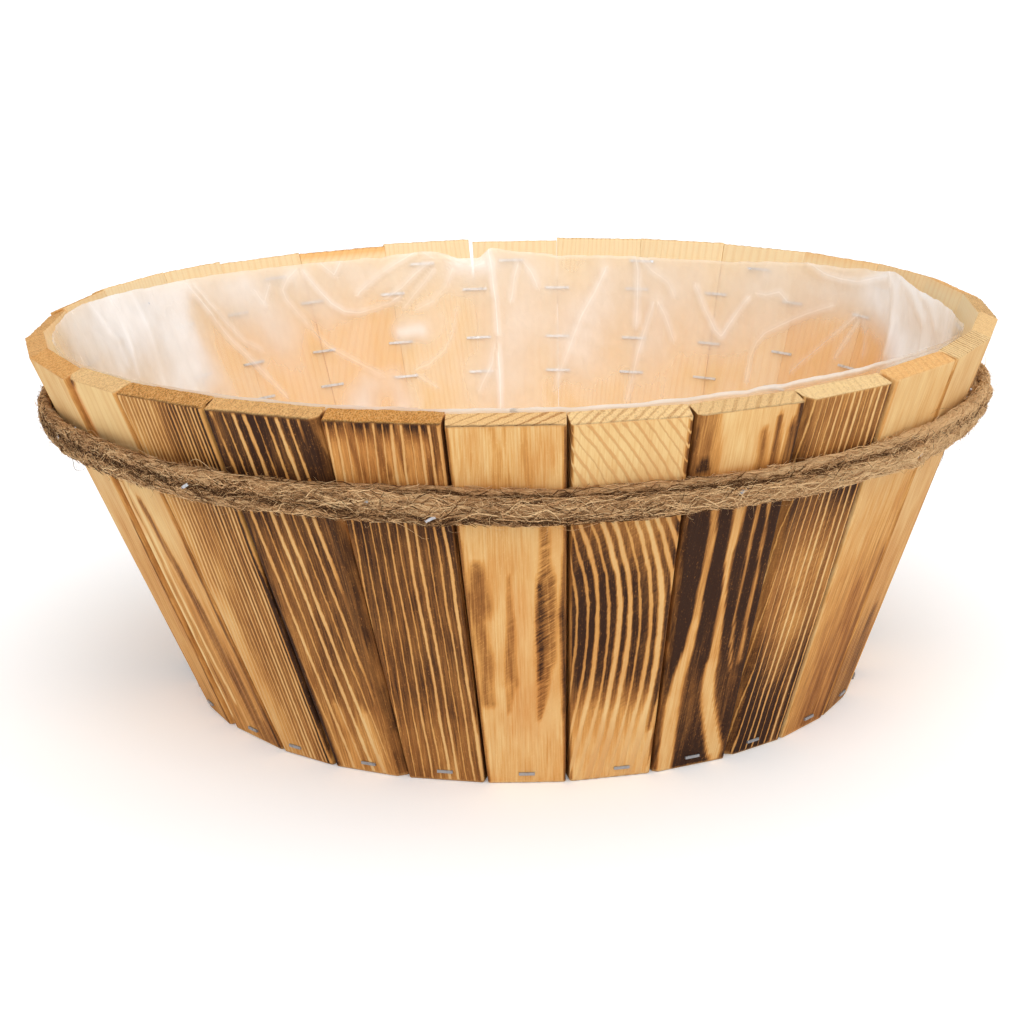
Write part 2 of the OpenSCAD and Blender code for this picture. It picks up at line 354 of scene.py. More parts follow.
def brushed_pine():
    """Grain lines, burn and end grain, read from what each stave has painted on it."""
    tree, given, end = effect("Brushed and burnt pine", {
        "Pale": ink(240, 208, 148), "Golden": ink(218, 160, 88), "Char": ink(56, 33, 19),
        "Fresh": ink(252, 226, 182), "Sawn": ink(244, 208, 152), "Line Width": 0.3,
    })
    board = kept(tree, "board", "Vector")
    char, line, hatch, warm, sawn, inside = (
        kept(tree, name) for name in ("char", "line", "hatch", "warm", "sawn", "inside"))
    fibre = noise(tree, stretched(tree, board, 1.6, 0.05, 1.6), detail=4, roughness=0.62)
    blotch = noise(tree, stretched(tree, board, 0.11, 0.035, 0.11), detail=3)
    speck = noise(tree, stretched(tree, board, 2.2, 0.9, 2.2), detail=3, roughness=0.7)
    ragged = noise(tree, stretched(tree, board, 1.1, 0.3, 1.1), detail=3, roughness=0.7)
    drift = noise(tree, stretched(tree, board, 0.3, 0.03, 0.3), detail=2)
    ring = varied(tree, varied(tree, kept(tree, "ring"), ragged, 0.22), drift, 0.35)
    own = put(tree, "ShaderNodeTexWhiteNoise", {"W": calc(tree, "ROUND", ring)},
              noise_dimensions="1D").outputs["Value"]
    off = times(tree, calc(tree, "PINGPONG", ring, 0.5), 2.0)
    wide = times(tree, kept(tree, "wide"), times(tree, own, 0.8, 0.6))
    width = times(tree, given["Line Width"], wide)
    mask = fade(tree, off, times(tree, width, 0.5), times(tree, width, 1.5))
    strong = times(tree, times(tree, mask, line), times(tree, own, 0.3, 0.7))
    # Burn, broken up by blotches, fibres and fine slanted brush marks
    across, along, _ = put(tree, "ShaderNodeSeparateXYZ", {0: board}).outputs
    marks = noise(tree, put(tree, "ShaderNodeCombineXYZ", {
        "X": times(tree, times(tree, across, -0.75, along), 1.15),
        "Y": times(tree, times(tree, along, 0.75, across), 0.1),
    }).outputs[0], detail=3, roughness=0.65)
    middle = times(tree, char, calc(tree, "SUBTRACT", 1.12, char))
    burn = varied(tree, char, blotch, times(tree, middle, 1.3))
    plain = times(tree, hatch, -0.8, 1.0)
    burn = varied(tree, burn, fibre, times(tree, plain, times(tree, middle, 1.6, 0.25)))
    burn = varied(tree, burn, marks, times(
        tree, hatch, times(tree, step(tree, char, 0.22, 0.5), 1.1, 0.06)))
    light_speck = times(tree, step(tree, speck, 0.56, 0.72), char)
    burn = times(tree, light_speck, -0.3, burn)
    burn = times(tree, burn, times(tree, strong, -0.8, 1.0), clamp=True)
    brown = blend(tree, 0.5, given["Golden"], given["Char"])
    brown = blend(tree, 0.45, brown, ink(148, 84, 34))
    surface = blend(tree, step(tree, burn, 0.0, 0.32), given["Pale"], given["Golden"])
    surface = blend(tree, step(tree, burn, 0.22, 0.62), surface, brown)
    surface = blend(tree, step(tree, burn, 0.5, 0.95), surface, given["Char"])
    # Hard lines of the year rings are darker on pale wood
    fresh = fade(tree, char, 0.05, 0.5)
    surface = blend(tree, times(tree, times(tree, strong, fresh), 0.7),
                    surface, ink(206, 142, 74))
    surface = blend(tree, times(tree, warm, times(tree, speck, 0.4, 0.3)),
                    surface, ink(232, 156, 78), "MULTIPLY")
    surface = blend(tree, times(tree, step(tree, blotch, 0.35, 0.7), 0.15),
                    surface, given["Golden"], "MULTIPLY")
    bare = blend(tree, times(tree, strong, 0.45), given["Fresh"], ink(226, 172, 108))
    bare = blend(tree, times(tree, step(tree, fibre, 0.4, 0.7), 0.25), bare, ink(240, 200, 142))
    bare = blend(tree, times(tree, warm, 0.8), bare, ink(255, 206, 128), "MULTIPLY")
    surface = blend(tree, inside, surface, bare)
    # End grain with pits where the saw has torn it
    grain = noise(tree, stretched(tree, board, 2.4, 2.4, 1.3), detail=4, roughness=0.72)
    top = blend(tree, warm, given["Sawn"], ink(226, 146, 52))
    top = blend(tree, times(tree, strong, 0.45), top, ink(176, 108, 46))
    top = blend(tree, times(tree, step(tree, grain, 0.5, 0.36), 0.5), top, ink(255, 226, 160))
    # Painted shade: the torn pits of the end grain are painted dark brown
    pits = times(tree, step(tree, grain, 0.5, 0.62), hatch)
    top = blend(tree, times(tree, pits, 0.75), top, ink(104, 58, 24))
    top = blend(tree, step(tree, char, 0.1, 0.9), top, given["Char"])
    shade = blend(tree, sawn, surface, top)
    rough = times(tree, strong, -0.14, 0.7)
    rough = calc(tree, "MAXIMUM", rough, times(tree, sawn, 0.85))
    ridge = times(tree, strong, times(tree, char, 0.5, 0.35))
    height = times(tree, fibre, 0.45, ridge)
    height = times(tree, speck, times(tree, char, 0.3), height)
    torn = times(tree, grain, times(tree, hatch, -2.2, -0.5))
    height = calc(tree, "ADD", height, times(tree, torn, sawn))
    give(tree, end, Color=shade, Roughness=rough, Height=height)
    return tree


def sawn_board():
    """Pine boards edge to edge for the floor, from where a place is on the floor."""
    tree, given, end = effect("Sawn pine board", {
        "Pale": ink(240, 212, 160), "Golden": ink(214, 160, 92)})
    place = stretched(tree, put(tree, "ShaderNodeTexCoord").outputs["Object"], 1000, 1000, 1000)
    across, _, _ = put(tree, "ShaderNodeSeparateXYZ", {0: place}).outputs
    plank = calc(tree, "DIVIDE", across, 66.0)
    number = calc(tree, "FLOOR", plank)
    own = put(tree, "ShaderNodeTexWhiteNoise", {"W": number}, noise_dimensions="1D").outputs[0]
    wave = noise(tree, stretched(tree, place, 0.02, 0.004, 0.02), detail=2)
    ring = times(tree, wave, 9.0, times(tree, own, 7.0, calc(tree, "DIVIDE", across, 6.5)))
    off = times(tree, calc(tree, "PINGPONG", ring, 0.5), 2.0)
    fibre = noise(tree, stretched(tree, place, 1.2, 0.03, 1.2), detail=4)
    line = fade(tree, off, 0.08, 0.6)
    edge = times(tree, calc(tree, "PINGPONG", plank, 0.5), 66.0)
    seam = fade(tree, edge, 0.2, 0.7)
    shade = blend(tree, times(tree, own, 0.5, 0.1), given["Pale"], given["Golden"])
    shade = blend(tree, times(tree, line, 0.45), shade, ink(196, 134, 72))
    shade = blend(tree, step(tree, fibre, 0.35, 0.7, 0.0, 0.3), shade, given["Golden"])
    shade = blend(tree, times(tree, seam, 0.8), shade, ink(70, 44, 26))
    height = times(tree, fibre, 0.5, times(tree, seam, -1.5))
    give(tree, end, Color=shade, Roughness=step(tree, fibre, 0.2, 0.8, 0.62, 0.8), Height=height)
    return tree


# How each stave looks. Heights run from 0 at the foot to 1 at the rim and places
# across from -1 at the left to 1 at the right, as seen from outside; lengths are in mm.

PLAIN = dict(
    pitch=3.4,        # Distance between grain lines
    slope=0.0,        # How far the lines lean to the left as they rise
    tilt=0.6,         # Slant of the lines through the thickness
    bow=(),           # Shift of the lines to the right at some heights
    wave=0.9,         # Waviness of the lines
    line=0.6,         # How clearly the lines show
    wide=1.0,         # How wide the lines are
    relief=0.0,       # Least height of the ridges, as a share of the full height
    burn=((0, 0.1), (1, 0.05)),      # Burn by height
    across=((-1, 1), (1, 1)),        # Share of the burn by place across
    left=(0.2, 1.5), right=(0.2, 1.5),   # Burn and width of the edges
    warm=0.1,         # Orange tint of the face
    inside=0.15,      # Orange tint of the inner face
    top=(0.3, 0.3, 0.2),             # Orange tint, roughness and burnt edge of the top
    rings=0.4,        # How clearly year rings show on the top
    strokes=(),       # Field, value, start radius, end radius, softness, points
    knots=(),         # Place across, height and radius
    wander=1.0,       # How far strokes stray from their points
)

STAVE_LOOKS = {
    "stave_28": dict(
        rings=1.2, pitch=3.0, line=0.7, warm=0.2, top=(0.6, 0.4, 0.1), tilt=0.9,
        burn=((0, 0.4), (0.5, 0.3), (0.75, 0.25), (1, 0.2))),
    "stave_01": dict(
        pitch=4.2, line=0.3, top=(0.75, 0.5, 0.1), warm=0.05,
        burn=((0, 0.42), (0.2, 0.32), (0.5, 0.26), (0.8, 0.1), (1, 0.16)), right=(0.35, 0.6),
        left=(0.3, 1.2),
        strokes=(
            ("char", 0.75, 0.4, 1.0, 0.6, ((1, 0.74), (0.98, 0.4), (0.97, 0))),
        )),
    "stave_02": dict(
        pitch=4.6, line=0.3, top=(0.25, 0.5, 0.1), left=(0.4, 1.0), right=(0.45, 1.2),
        burn=((0, 0.42), (0.3, 0.34), (0.6, 0.15), (0.77, 0.12), (0.87, 0.03), (1, 0.03)),
        knots=((-0.86, 1.0, 4.2),),
        strokes=(
            ("warm", 0.9, 3, 3, 1, ((-0.9, 0.98), (-0.92, 0.6))),
            ("char", 0.3, 1.6, 1.2, 1, ((-0.86, 0.98), (-0.84, 0.8))),
            ("char", 0.6, 0.9, 0.9, 0.8, ((-0.92, 0.76), (-0.9, 0.02))),
            ("char", 0.64, 1.6, 5.5, 0.45, ((-0.25, 0.7), (0, 0.52), (0.25, 0.36), (0.4, 0.2),
                (0.5, 0.03))),
            ("char", 0.55, 0.6, 0.6, 0.8, ((-0.6, 0.76), (-0.62, 0.1))),
            ("char", 0.0, 0.9, 0.9, 0.5, ((-0.76, 0.76), (-0.8, 0.05))),
            ("char", 0.0, 0.9, 0.9, 0.5, ((-0.44, 0.76), (-0.46, 0.3), (-0.3, 0.1))),
            ("char", 0.8, 0.5, 1.3, 0.6, ((1, 0.7), (0.98, 0.3), (0.97, 0))),
            ("hatch", 0.3, 6, 9, 1, ((0, 0.5), (0.4, 0.05))),
        )),
    "stave_03": dict(
        pitch=1.95, line=0.95, wide=1.2, tilt=0.3, top=(0.8, 0.95, 0.5), wave=0.5,
        burn=((0, 0.54), (0.3, 0.6), (0.6, 0.7), (0.86, 0.8), (1, 0.84)),
        across=((-1, 0.42), (-0.6, 0.72), (0.2, 0.95), (1, 1.12)), left=(0.45, 0.8),
        right=(0.9, 1.8),
        strokes=(
            ("char", 0.25, 5, 8, 0.9, ((-0.95, 0.45), (-0.9, 0))),
            ("char", 0.95, 0.8, 2.2, 0.7, ((0.97, 0.98), (0.95, 0.5), (0.93, 0))),
        )),
    "stave_04": dict(
        pitch=4.3, slope=0.1, line=1.0, wide=0.82, tilt=0.4, wave=0.35, top=(0.55, 0.6, 0.6),
        burn=((0, 0.44), (0.15, 0.54), (0.35, 0.68), (0.6, 0.76), (1, 0.9)), left=(0.97, 2.6),
        right=(0.8, 1.2),
        strokes=(
            ("line", 0.1, 3.2, 3.0, 0.6, ((0.86, 1), (0.8, 0.5), (0.86, 0))),
            ("line", 0.2, 2.2, 2.6, 0.7, ((-0.96, 0.98), (-0.96, 0))),
            ("line", 0.05, 2.2, 2.6, 0.5, ((0.92, 0.8), (0.93, 0))),
            ("char", 0.9, 2.4, 0.8, 1, ((0.85, 0.8), (0.92, 0.4))),
            ("char", 0.3, 1.2, 2.6, 1, ((0.3, 0.2), (0.45, 0))),
            ("char", 0.3, 1.2, 2.6, 1, ((-0.35, 0.2), (-0.25, 0))),
        )),
    "stave_05": dict(
        pitch=3.3, line=0.95, wide=0.78, tilt=0.5, top=(0.85, 0.8, 0.6), warm=0.15,
        burn=((0, 0.58), (0.15, 0.62), (0.4, 0.76), (0.76, 0.8), (0.86, 0.34), (0.94, 0.34),
            (0.97, 0.6), (1, 0.95)), across=((-1, 0.95), (0.6, 1), (0.85, 1.12), (1, 1.15)),
        left=(0.6, 1.2), right=(0.72, 1.4),
        strokes=(
            ("char", 0.6, 1.0, 1.3, 0.9, ((-0.55, 1), (-0.5, 0.87))),
            ("char", 0.66, 1.2, 1.5, 0.9, ((-0.1, 1), (-0.05, 0.86))),
            ("char", 0.6, 0.9, 1.3, 0.9, ((0.3, 1), (0.33, 0.88))),
            ("char", 0.72, 2.0, 2.0, 0.9, ((0.85, 1), (0.8, 0.85))),
            ("warm", 0.4, 12, 12, 1, ((-0.6, 0.92), (0.6, 0.92))),
        )),
    "stave_06": dict(
        rings=1.7, pitch=5.6, line=0.25, wave=1.2, tilt=1.4, wide=0.5, top=(0.3, 0.3, 0.6),
        wander=0.5,
        burn=((0, 0.22), (0.2, 0.17), (0.5, 0.2), (0.7, 0.2), (0.8, 0.22), (1, 0.16)),
        left=(0.6, 1.0), right=(0.7, 1.0),
        strokes=(
            ("char", 0.34, 1.0, 1.4, 1, ((-0.25, 1), (-0.15, 0.93), (-0.22, 0.86))),
            ("char", 0.3, 1.0, 1.4, 1, ((0.3, 1), (0.28, 0.93), (0.36, 0.86))),
            ("char", 0.3, 0.8, 1.2, 1, ((-0.05, 1), (-0.02, 0.9), (0.02, 0.84))),
            ("hatch", 0.3, 20, 20, 1, ((0, 0.72), (0, 0.15))),
            ("hatch", 1.0, 5, 6, 0.5, ((0.62, 0.72), (0.5, 0.2))),
            ("char", 0.56, 2.4, 3.4, 1, ((-0.72, 0.63), (-0.72, 0.52))),
            ("char", 0.52, 2.6, 2.2, 1, ((-0.86, 0.56), (-0.8, 0.46), (-0.74, 0.36),
                (-0.76, 0.25))),
            ("char", 0.44, 0.6, 1.5, 1, ((-0.12, 0.6), (-0.13, 0.48))),
            ("char", 0.56, 1.4, 2.2, 1, ((-0.13, 0.48), (-0.2, 0.38), (-0.22, 0.31))),
            ("char", 0.42, 1.5, 0.6, 1, ((-0.22, 0.31), (-0.3, 0.22))),
            ("char", 0.5, 1.2, 3.2, 0.8, ((0.6, 0.76), (0.6, 0.62), (0.6, 0.52))),
            ("char", 0.62, 3.0, 3.2, 0.7, ((0.6, 0.6), (0.6, 0.5), (0.55, 0.38))),
            ("char", 0.5, 3.2, 0.8, 0.8, ((0.55, 0.38), (0.4, 0.2))),
            ("char", 0.9, 0.8, 1.4, 1, ((0.47, 0.58), (0.5, 0.5))),
            ("char", 0.86, 1.4, 0.8, 1, ((0.5, 0.5), (0.46, 0.4), (0.42, 0.32))),
            ("char", 0.8, 0.6, 1.6, 0.9, ((1, 0.7), (0.96, 0.5))),
            ("char", 0.8, 1.6, 0.6, 0.9, ((0.96, 0.5), (0.98, 0.2))),
            ("warm", 0.35, 5, 9, 1, ((0.1, 0.55), (0.15, 0.18))),
        )),
    "stave_07": dict(
        rings=1.2, pitch=3.9, line=1.0, wide=1.3, wave=0.5, tilt=0.9, top=(0.08, 0.3, 0.4),
        relief=1.0,
        bow=((0, -7.8), (0.12, -4.1), (0.24, -1.5), (0.34, -0.3), (0.43, 0), (0.52, -0.8),
            (0.6, -2.8), (0.7, -7.4), (0.78, -12.5), (0.83, -16.3), (0.88, -20.8), (0.93, -26),
            (1, -34)),
        burn=((0, 0.2), (0.12, 0.22), (0.2, 0.36), (0.3, 0.74), (0.45, 0.88), (0.6, 0.84),
            (0.7, 0.68), (0.77, 0.5), (0.84, 0.12), (1, 0.08)), left=(0.5, 0.8),
        right=(0.7, 1.4),
        strokes=(
            ("char", 0.85, 1.0, 2.4, 0.7, ((0.98, 0.76), (0.96, 0.15))),
            ("wide", 0.75, 12, 12, 0.2, ((-1, 0.93), (1, 0.93))),
            ("hatch", 0.4, 20, 20, 1, ((0, 0.78), (0, 0.6))),
            ("hatch", 0.3, 20, 20, 1, ((0, 0.5), (0, 0.1))),
        )),
    "stave_08": dict(
        rings=0.9, pitch=4.8, line=0.08, wave=1.2, tilt=0.8, top=(0.15, 0.5, 0.4), wander=0.3,
        burn=((0, 0.95), (0.05, 0.9), (0.25, 0.93), (0.4, 1.05), (0.74, 1.1), (0.8, 0.6),
            (0.86, 0.2), (1, 0.1)), left=(0.72, 1.2), right=(0.95, 2.5),
        knots=((-0.8, 0.865, 3.6),),
        strokes=(
            ("char", 0.5, 5, 5, 0.8, ((-0.85, 1), (-0.8, 0.86))),
            ("char", 0.5, 1.0, 2.2, 1, ((0.3, 0.95), (0.35, 0.83))),
            ("char", 0.6, 1.0, 2.0, 1, ((0.58, 0.97), (0.6, 0.83))),
            ("char", 0.75, 1.0, 2.4, 1, ((0.85, 0.95), (0.85, 0.83))),
            ("char", 0.34, 1.6, 1.4, 0.4, ((-0.43, 0.77), (-0.4, 0.675), (-0.43, 0.6),
                (-0.47, 0.52), (-0.47, 0.42))),
            ("char", 0.22, 1.7, 3.0, 0.4, ((-0.49, 0.44), (-0.53, 0.366), (-0.67, 0.29),
                (-0.73, 0.21))),
            ("char", 0.18, 3.0, 3.3, 0.4, ((-0.73, 0.22), (-0.76, 0.13), (-0.74, 0))),
            ("char", 0.2, 2.6, 1.1, 0.4, ((0.1, 0.77), (0.09, 0.695), (0.05, 0.618),
                (0.075, 0.54))),
            ("char", 0.26, 1.1, 2.2, 0.4, ((0.075, 0.54), (0.1, 0.465), (0.11, 0.39),
                (0.14, 0.312))),
            ("char", 0.18, 2.4, 3.6, 0.35, ((0.1, 0.312), (0.1, 0.274), (0.18, 0.197),
                (0.4, 0.12), (0.68, 0.03))),
            ("char", 0.4, 0.6, 0.55, 0.5, ((0.5, 0.77), (0.46, 0.657), (0.487, 0.58),
                (0.48, 0.504), (0.47, 0.427), (0.53, 0.35), (0.64, 0.28))),
            ("char", 0.4, 0.6, 0.9, 0.5, ((0.706, 0.77), (0.723, 0.657), (0.76, 0.58),
                (0.784, 0.504), (0.78, 0.427), (0.805, 0.35), (0.83, 0.31))),
            ("hatch", 0.2, 14, 14, 1, ((0, 0.25), (0, 0.1))),
        )),
    "stave_09": dict(
        pitch=3.3, line=1.0, tilt=0.3, wide=0.7, top=(0.0, 0.35, 0.2), wave=0.5,
        burn=((0, 0.96), (0.16, 0.9), (0.28, 0.72), (0.38, 0.5), (0.52, 0.44), (0.62, 0.6),
            (0.76, 0.84), (0.86, 0.6), (1, 0.5)),
        across=((-1, 1.2), (-0.5, 1.05), (0.1, 0.95), (0.8, 1.1), (1, 1.2)), left=(0.65, 1.5),
        right=(0.8, 1.8),
        strokes=(
            ("char", 0.7, 1.0, 2.2, 0.9, ((0.66, 0.7), (0.62, 0.3), (0.66, 0))),
            ("wide", 0.95, 12, 12, 1, ((0, 0.93), (0, 0.88))),
            ("hatch", 0.4, 14, 14, 1, ((0, 0.7), (0, 0.1))),
        )),
    "stave_10": dict(
        pitch=4.6, line=0.25, warm=0.12, top=(0.55, 0.2, 0.1),
        burn=((0, 0.48), (0.2, 0.48), (0.4, 0.42), (0.55, 0.3), (0.8, 0.16), (1, 0.12)),
        across=((-1, 0.9), (0, 0.95), (0.7, 1.2), (1, 1.3)), right=(0.6, 0.8),
        strokes=(
            ("warm", 0.35, 8, 12, 1, ((0.3, 0.4), (0.4, 0))),
            ("char", 0.6, 1.2, 3.4, 1, ((0.9, 0.5), (0.85, 0))),
        )),
    "stave_11": dict(
        rings=2.0, pitch=2.4, line=0.65, tilt=0.1, top=(0.0, 0.4, 0.1), wide=0.7,
        burn=((0, 0.66), (0.15, 0.55), (0.35, 0.32), (0.6, 0.18), (1, 0.1)), left=(0.4, 1.5),
        right=(0.5, 2),
        strokes=(
            ("char", 0.7, 3, 7, 1, ((0.2, 0.28), (0.3, 0))),
        )),
    "stave_12": dict(
        pitch=3.0, line=0.5, top=(0.2, 0.3, 0.1),
        burn=((0, 0.4), (0.3, 0.22), (0.6, 0.12), (1, 0.08)), right=(0.45, 2),
        strokes=(
            ("char", 0.7, 2, 5, 1, ((0.6, 0.3), (0.7, 0))),
        )),
}

# Orange tint of the inner faces that the photograph shows through the film
INNER_TINTS = {14: 0.3, 15: 0.95, 16: 0.7, 17: 0.35, 18: 0.35, 19: 0.3, 20: 0.25, 21: 0.2,
               22: 0.5, 23: 0.5, 24: 0.4, 25: 0.15, 26: 0.1}
# Orange tint of the tops that the photograph shows at the back
BACK_TOPS = {13: 0.3, 14: 0.55, 15: 0.5, 16: 0.6, 17: 0.25, 18: 0.3, 19: 0.1, 20: 0.2, 21: 0.05,
             22: 0.85, 23: 0.4, 24: 0.3, 25: 0.25, 26: 0.6, 27: 0.6}
# Staves on the two sides of the joint that stands open at the rim, and the side it is on
OPEN_JOINT = {"stave_20": 1, "stave_21": -1}

# The looks that the staves out of the photograph's sight take, by how burnt they are
HIDDEN_LOOKS = {
    "pine_pale": ("stave_06", "stave_12", "stave_01", "stave_11"),
    "pine_toasted": ("stave_02", "stave_07", "stave_09", "stave_10"),
    "pine_burnt": ("stave_03", "stave_04", "stave_05", "stave_08"),
}


def look_of(name):
    """A stave's look: its own where the photograph shows it, or a mix of the others."""
    number = int(name[-2:])
    if name in STAVE_LOOKS:
        return {**PLAIN, "inside": INNER_TINTS.get(number, PLAIN["inside"]),
                **STAVE_LOOKS[name], "seed": number}
    dice = np.random.default_rng(400 + number)
    row = HIDDEN_LOOKS[SLOTS[name]]
    look = {**PLAIN, **STAVE_LOOKS[row[int(dice.integers(len(row)))]], "seed": number}
    flip = -1 if dice.random() < 0.5 else 1
    lift = float(dice.uniform(-0.08, 0.08))
    look["pitch"] *= float(dice.uniform(0.85, 1.3))
    look["slope"] = look["slope"] * flip + float(dice.uniform(-0.05, 0.05))
    look["bow"] = tuple((h, flip * shift) for h, shift in look["bow"])
    look["across"] = tuple((flip * s, share) for s, share in look["across"])[::flip]
    if flip < 0:
        look["left"], look["right"] = look["right"], look["left"]
    look["burn"] = tuple((h, float(np.clip(b * dice.uniform(0.85, 1.1), 0, 1)))
                         for h, b in look["burn"])
    look["strokes"] = tuple(
        (field, value, start, end, soft, tuple((flip * s, h + lift) for s, h in points))
        for field, value, start, end, soft, points in look["strokes"]
    )
    look["knots"] = tuple(
        (flip * s * float(dice.uniform(0.3, 0.9)), float(dice.uniform(0.1, 0.7)), radius)
        for s, _, radius in look["knots"])
    look["top"] = (BACK_TOPS.get(number, 0.3), float(dice.uniform(0.25, 0.8)), 0.3)
    look["inside"] = INNER_TINTS.get(number, float(dice.uniform(0.05, 0.4)))
    return look


class BASKET_OT_staves(bpy.types.Operator):
    """Makes the staves with brushed grain, worn edges and the marks of the flame"""

    bl_idname = "basket.staves"
    bl_label = "Staves"

    def execute(self, context):
        size = context.scene.basket_staves
        group = brushed_pine()
        shared = {label: (*getattr(size, label.lower() + "_wood"), 1)
                  for label in ("Pale", "Golden", "Char", "Fresh", "Sawn")}
        materials = {
            slot: finish_from(label, group, {**shared, "Line Width": width}, 0.45 * MM,
                              Specular_IOR_Level=0.16)
            for slot, label, width in (
                ("pine_pale", "Pine, brushed", 0.3),
                ("pine_toasted", "Pine, toasted", 0.32),
                ("pine_burnt", "Pine, burnt", 0.32),
            )
        }
        for name in sorted(n for n in frame["nodes"] if n.startswith("stave_")):
            self.stave(name, size, materials[SLOTS[name]])
        return {"FINISHED"}

    def stave(self, name, size, material):
        shape = bmesh.new()
        shape.from_mesh(frame["nodes"][name].data)
        bmesh.ops.remove_doubles(shape, verts=shape.verts, dist=0.001 * MM)
        bmesh.ops.dissolve_limit(shape, angle_limit=math.radians(1), verts=shape.verts,
                                 edges=shape.edges)
        shape.normal_update()
        walls = sorted(shape.faces, key=lambda f: -f.calc_area())[:2]
        inner, outer = sorted(walls, key=lambda f: -f.normal.z)
        top = max((f for f in shape.faces if f is not inner), key=lambda f: f.normal.z)
        away = outer.normal.copy()
        up = (Vector((0, 0, 1)) - away * away.z).normalized()
        right = up.cross(away)
        low = sorted(inner.verts, key=lambda v: v.co.z)[:2]
        start = (low[0].co + low[1].co) / 2
        axes = np.array([right, up, away])
        corners = (np.array([v.co for v in shape.verts]) - np.array(start)) @ axes.T
        raised = np.array([v.co.z for v in shape.verts]) > 50 * MM
        top_normal, top_place = np.array(top.normal), np.array(top.verts[0].co)
        foot, rim = corners[~raised], corners[raised]
        outline = [(row[:, 0].min(), row[:, 0].max(), row[:, 1].mean()) for row in (foot, rim)]

        bmesh.ops.bevel(shape, geom=shape.edges[:], offset=size.edge_round,
                        offset_type="OFFSET", segments=2, profile=0.5, affect="EDGES",
                        clamp_overlap=True, material=-1)
        reach_u = np.arange(corners[:, 0].min() + size.grain_cell / 2, corners[:, 0].max(),
                            size.grain_cell)
        reach_v = np.arange(corners[:, 1].min() + 1 * MM, corners[:, 1].max(), size.length_cell)
        depth = corners[:, 2].max()
        cuts = [(right, u) for u in reach_u]
        cuts += [(away, depth * share) for share in (0.2, 0.4, 0.6, 0.8)]
        cuts += [(up, v) for v in [*reach_v, corners[:, 1].max() - 1 * MM,
                                   corners[:, 1].max() - 4.5 * MM]]
        for direction, distance in cuts:
            bmesh.ops.bisect_plane(
                shape, geom=shape.verts[:] + shape.edges[:] + shape.faces[:],
                dist=0.01 * MM, plane_co=start + direction * float(distance),
                plane_no=direction)
        piece = piece_from(shape, "brushed_" + name, material)
        self.paint(piece.data, look_of(name), np.array(start), axes, outline,
                   (top_place, top_normal), size, OPEN_JOINT.get(name, 0))
        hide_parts(name)

    def paint(self, mesh, look, start, axes, outline, top, size, closing):
        places = places_of(mesh)
        u, v, w = ((places - start) @ axes.T / MM).T
        (foot_left, foot_right, foot_v), (rim_left, rim_right, rim_v) = (
            [n / MM for n in row] for row in outline)

        def sides(h):
            """The two edges of the board at a height."""
            return (foot_left + (rim_left - foot_left) * h,
                    foot_right + (rim_right - foot_right) * h)

        def spot(across, h):
            """The place on the board, in mm, of a place across and a height."""
            low, high = sides(h)
            return low + (high - low) * (across + 1) / 2, foot_v + h * (rim_v - foot_v)

        h = (v - foot_v) / (rim_v - foot_v)
        left, right = sides(h)
        s = np.clip(2 * (u - left) / (right - left) - 1, -1, 1)
        seed = look["seed"]
        from_top = -((places - top[0]) @ top[1]) / MM
        sawn = np.maximum(1 - ease(0.05, 0.4, from_top), 1 - ease(0.05, 0.4, places[:, 2] / MM))
        outside = ease(1.5, 7.5, w)

        # Year rings: straight lines along the stave that lean, bow, wave and pass round knots
        shift = np.interp(h, *zip(*look["bow"])) if look["bow"] else 0
        bend = cloud(u / 40, v / 70, seed) * look["wave"] * 2.2 + cloud(
            u / 9, v / 22, seed + 5) * 0.25
        position = u + look["slope"] * v - shift + bend + look["tilt"] * (w - 8)
        knots = [(*spot(across, high), radius) for across, high, radius in look["knots"]]
        for u_knot, v_knot, radius in knots:
            du, dv = u - u_knot, (v - v_knot) / 1.6
            near = np.exp(-(du**2 + dv**2) / (2.4 * radius) ** 2)
            position = position - near * radius * du / (np.abs(du) + radius / 2)
        ring = position / look["pitch"] + seed * 0.37

        # The flame: an even burn by height, burnt edges, and strokes of more or less
        patch = cloud(u / 16, v / 45, seed + 11, 4)
        burn = np.interp(h, *zip(*look["burn"])) * np.interp(s, *zip(*look["across"]))
        burn = burn * (1 + 0.3 * patch)
        wander_u = cloud(u / 7, v / 16, seed + 21) * 1.6 * look["wander"]
        wander_v = cloud(u / 9, v / 20, seed + 31) * 3 * look["wander"]
        fields = {"char": burn, "hatch": np.zeros_like(u),
                  **{name: np.full_like(u, look[name]) for name in ("line", "warm", "wide")}}
        for field, value, begin, finish, soft, points in look["strokes"]:
            path = [spot(*point) for point in points]
            away = reach(u + wander_u, v + wander_v, path, begin, finish)
            mask = 1 - ease(1 - 0.75 * soft, 1 + 0.75 * soft, away)
            fields[field] = fields[field] * (1 - mask) + value * mask
        char = fields["char"]
        for (amount, width), distance in ((look["left"], u - left), (look["right"], right - u)):
            mask = (1 - ease(0.3 * width, 1.6 * width, distance * (1 + 0.3 * patch))) * amount
            char = np.maximum(char, mask)
        for u_knot, v_knot, radius in knots:
            away = np.hypot(u + wander_u * 0.4 - u_knot, (v - v_knot) / 1.1) / radius
            char = np.maximum(char, 0.92 * (1 - ease(0.6, 1.3, away)))
        char = np.clip(char, 0, 1) * (0.05 + 0.95 * outside)
        # Side faces in the joints take their edge's burn: the edge's char, and also painted
        # shade in the joints between staves
        facing = vectors_of(mesh.vertex_normals, "vector") @ axes[0]
        side = ease(0.5, 0.85, np.abs(facing))
        amount = np.where(facing < 0, look["left"][0], look["right"][0])
        rough_side = 1 + 0.25 * cloud(w / 3, v / 9, seed + 81)
        char = char * (1 - side) + amount * rough_side * ease(0, 2, w) * side
        line = fields["line"] * outside + 0.45 * (1 - outside)
        warm, torn, edge = look["top"]
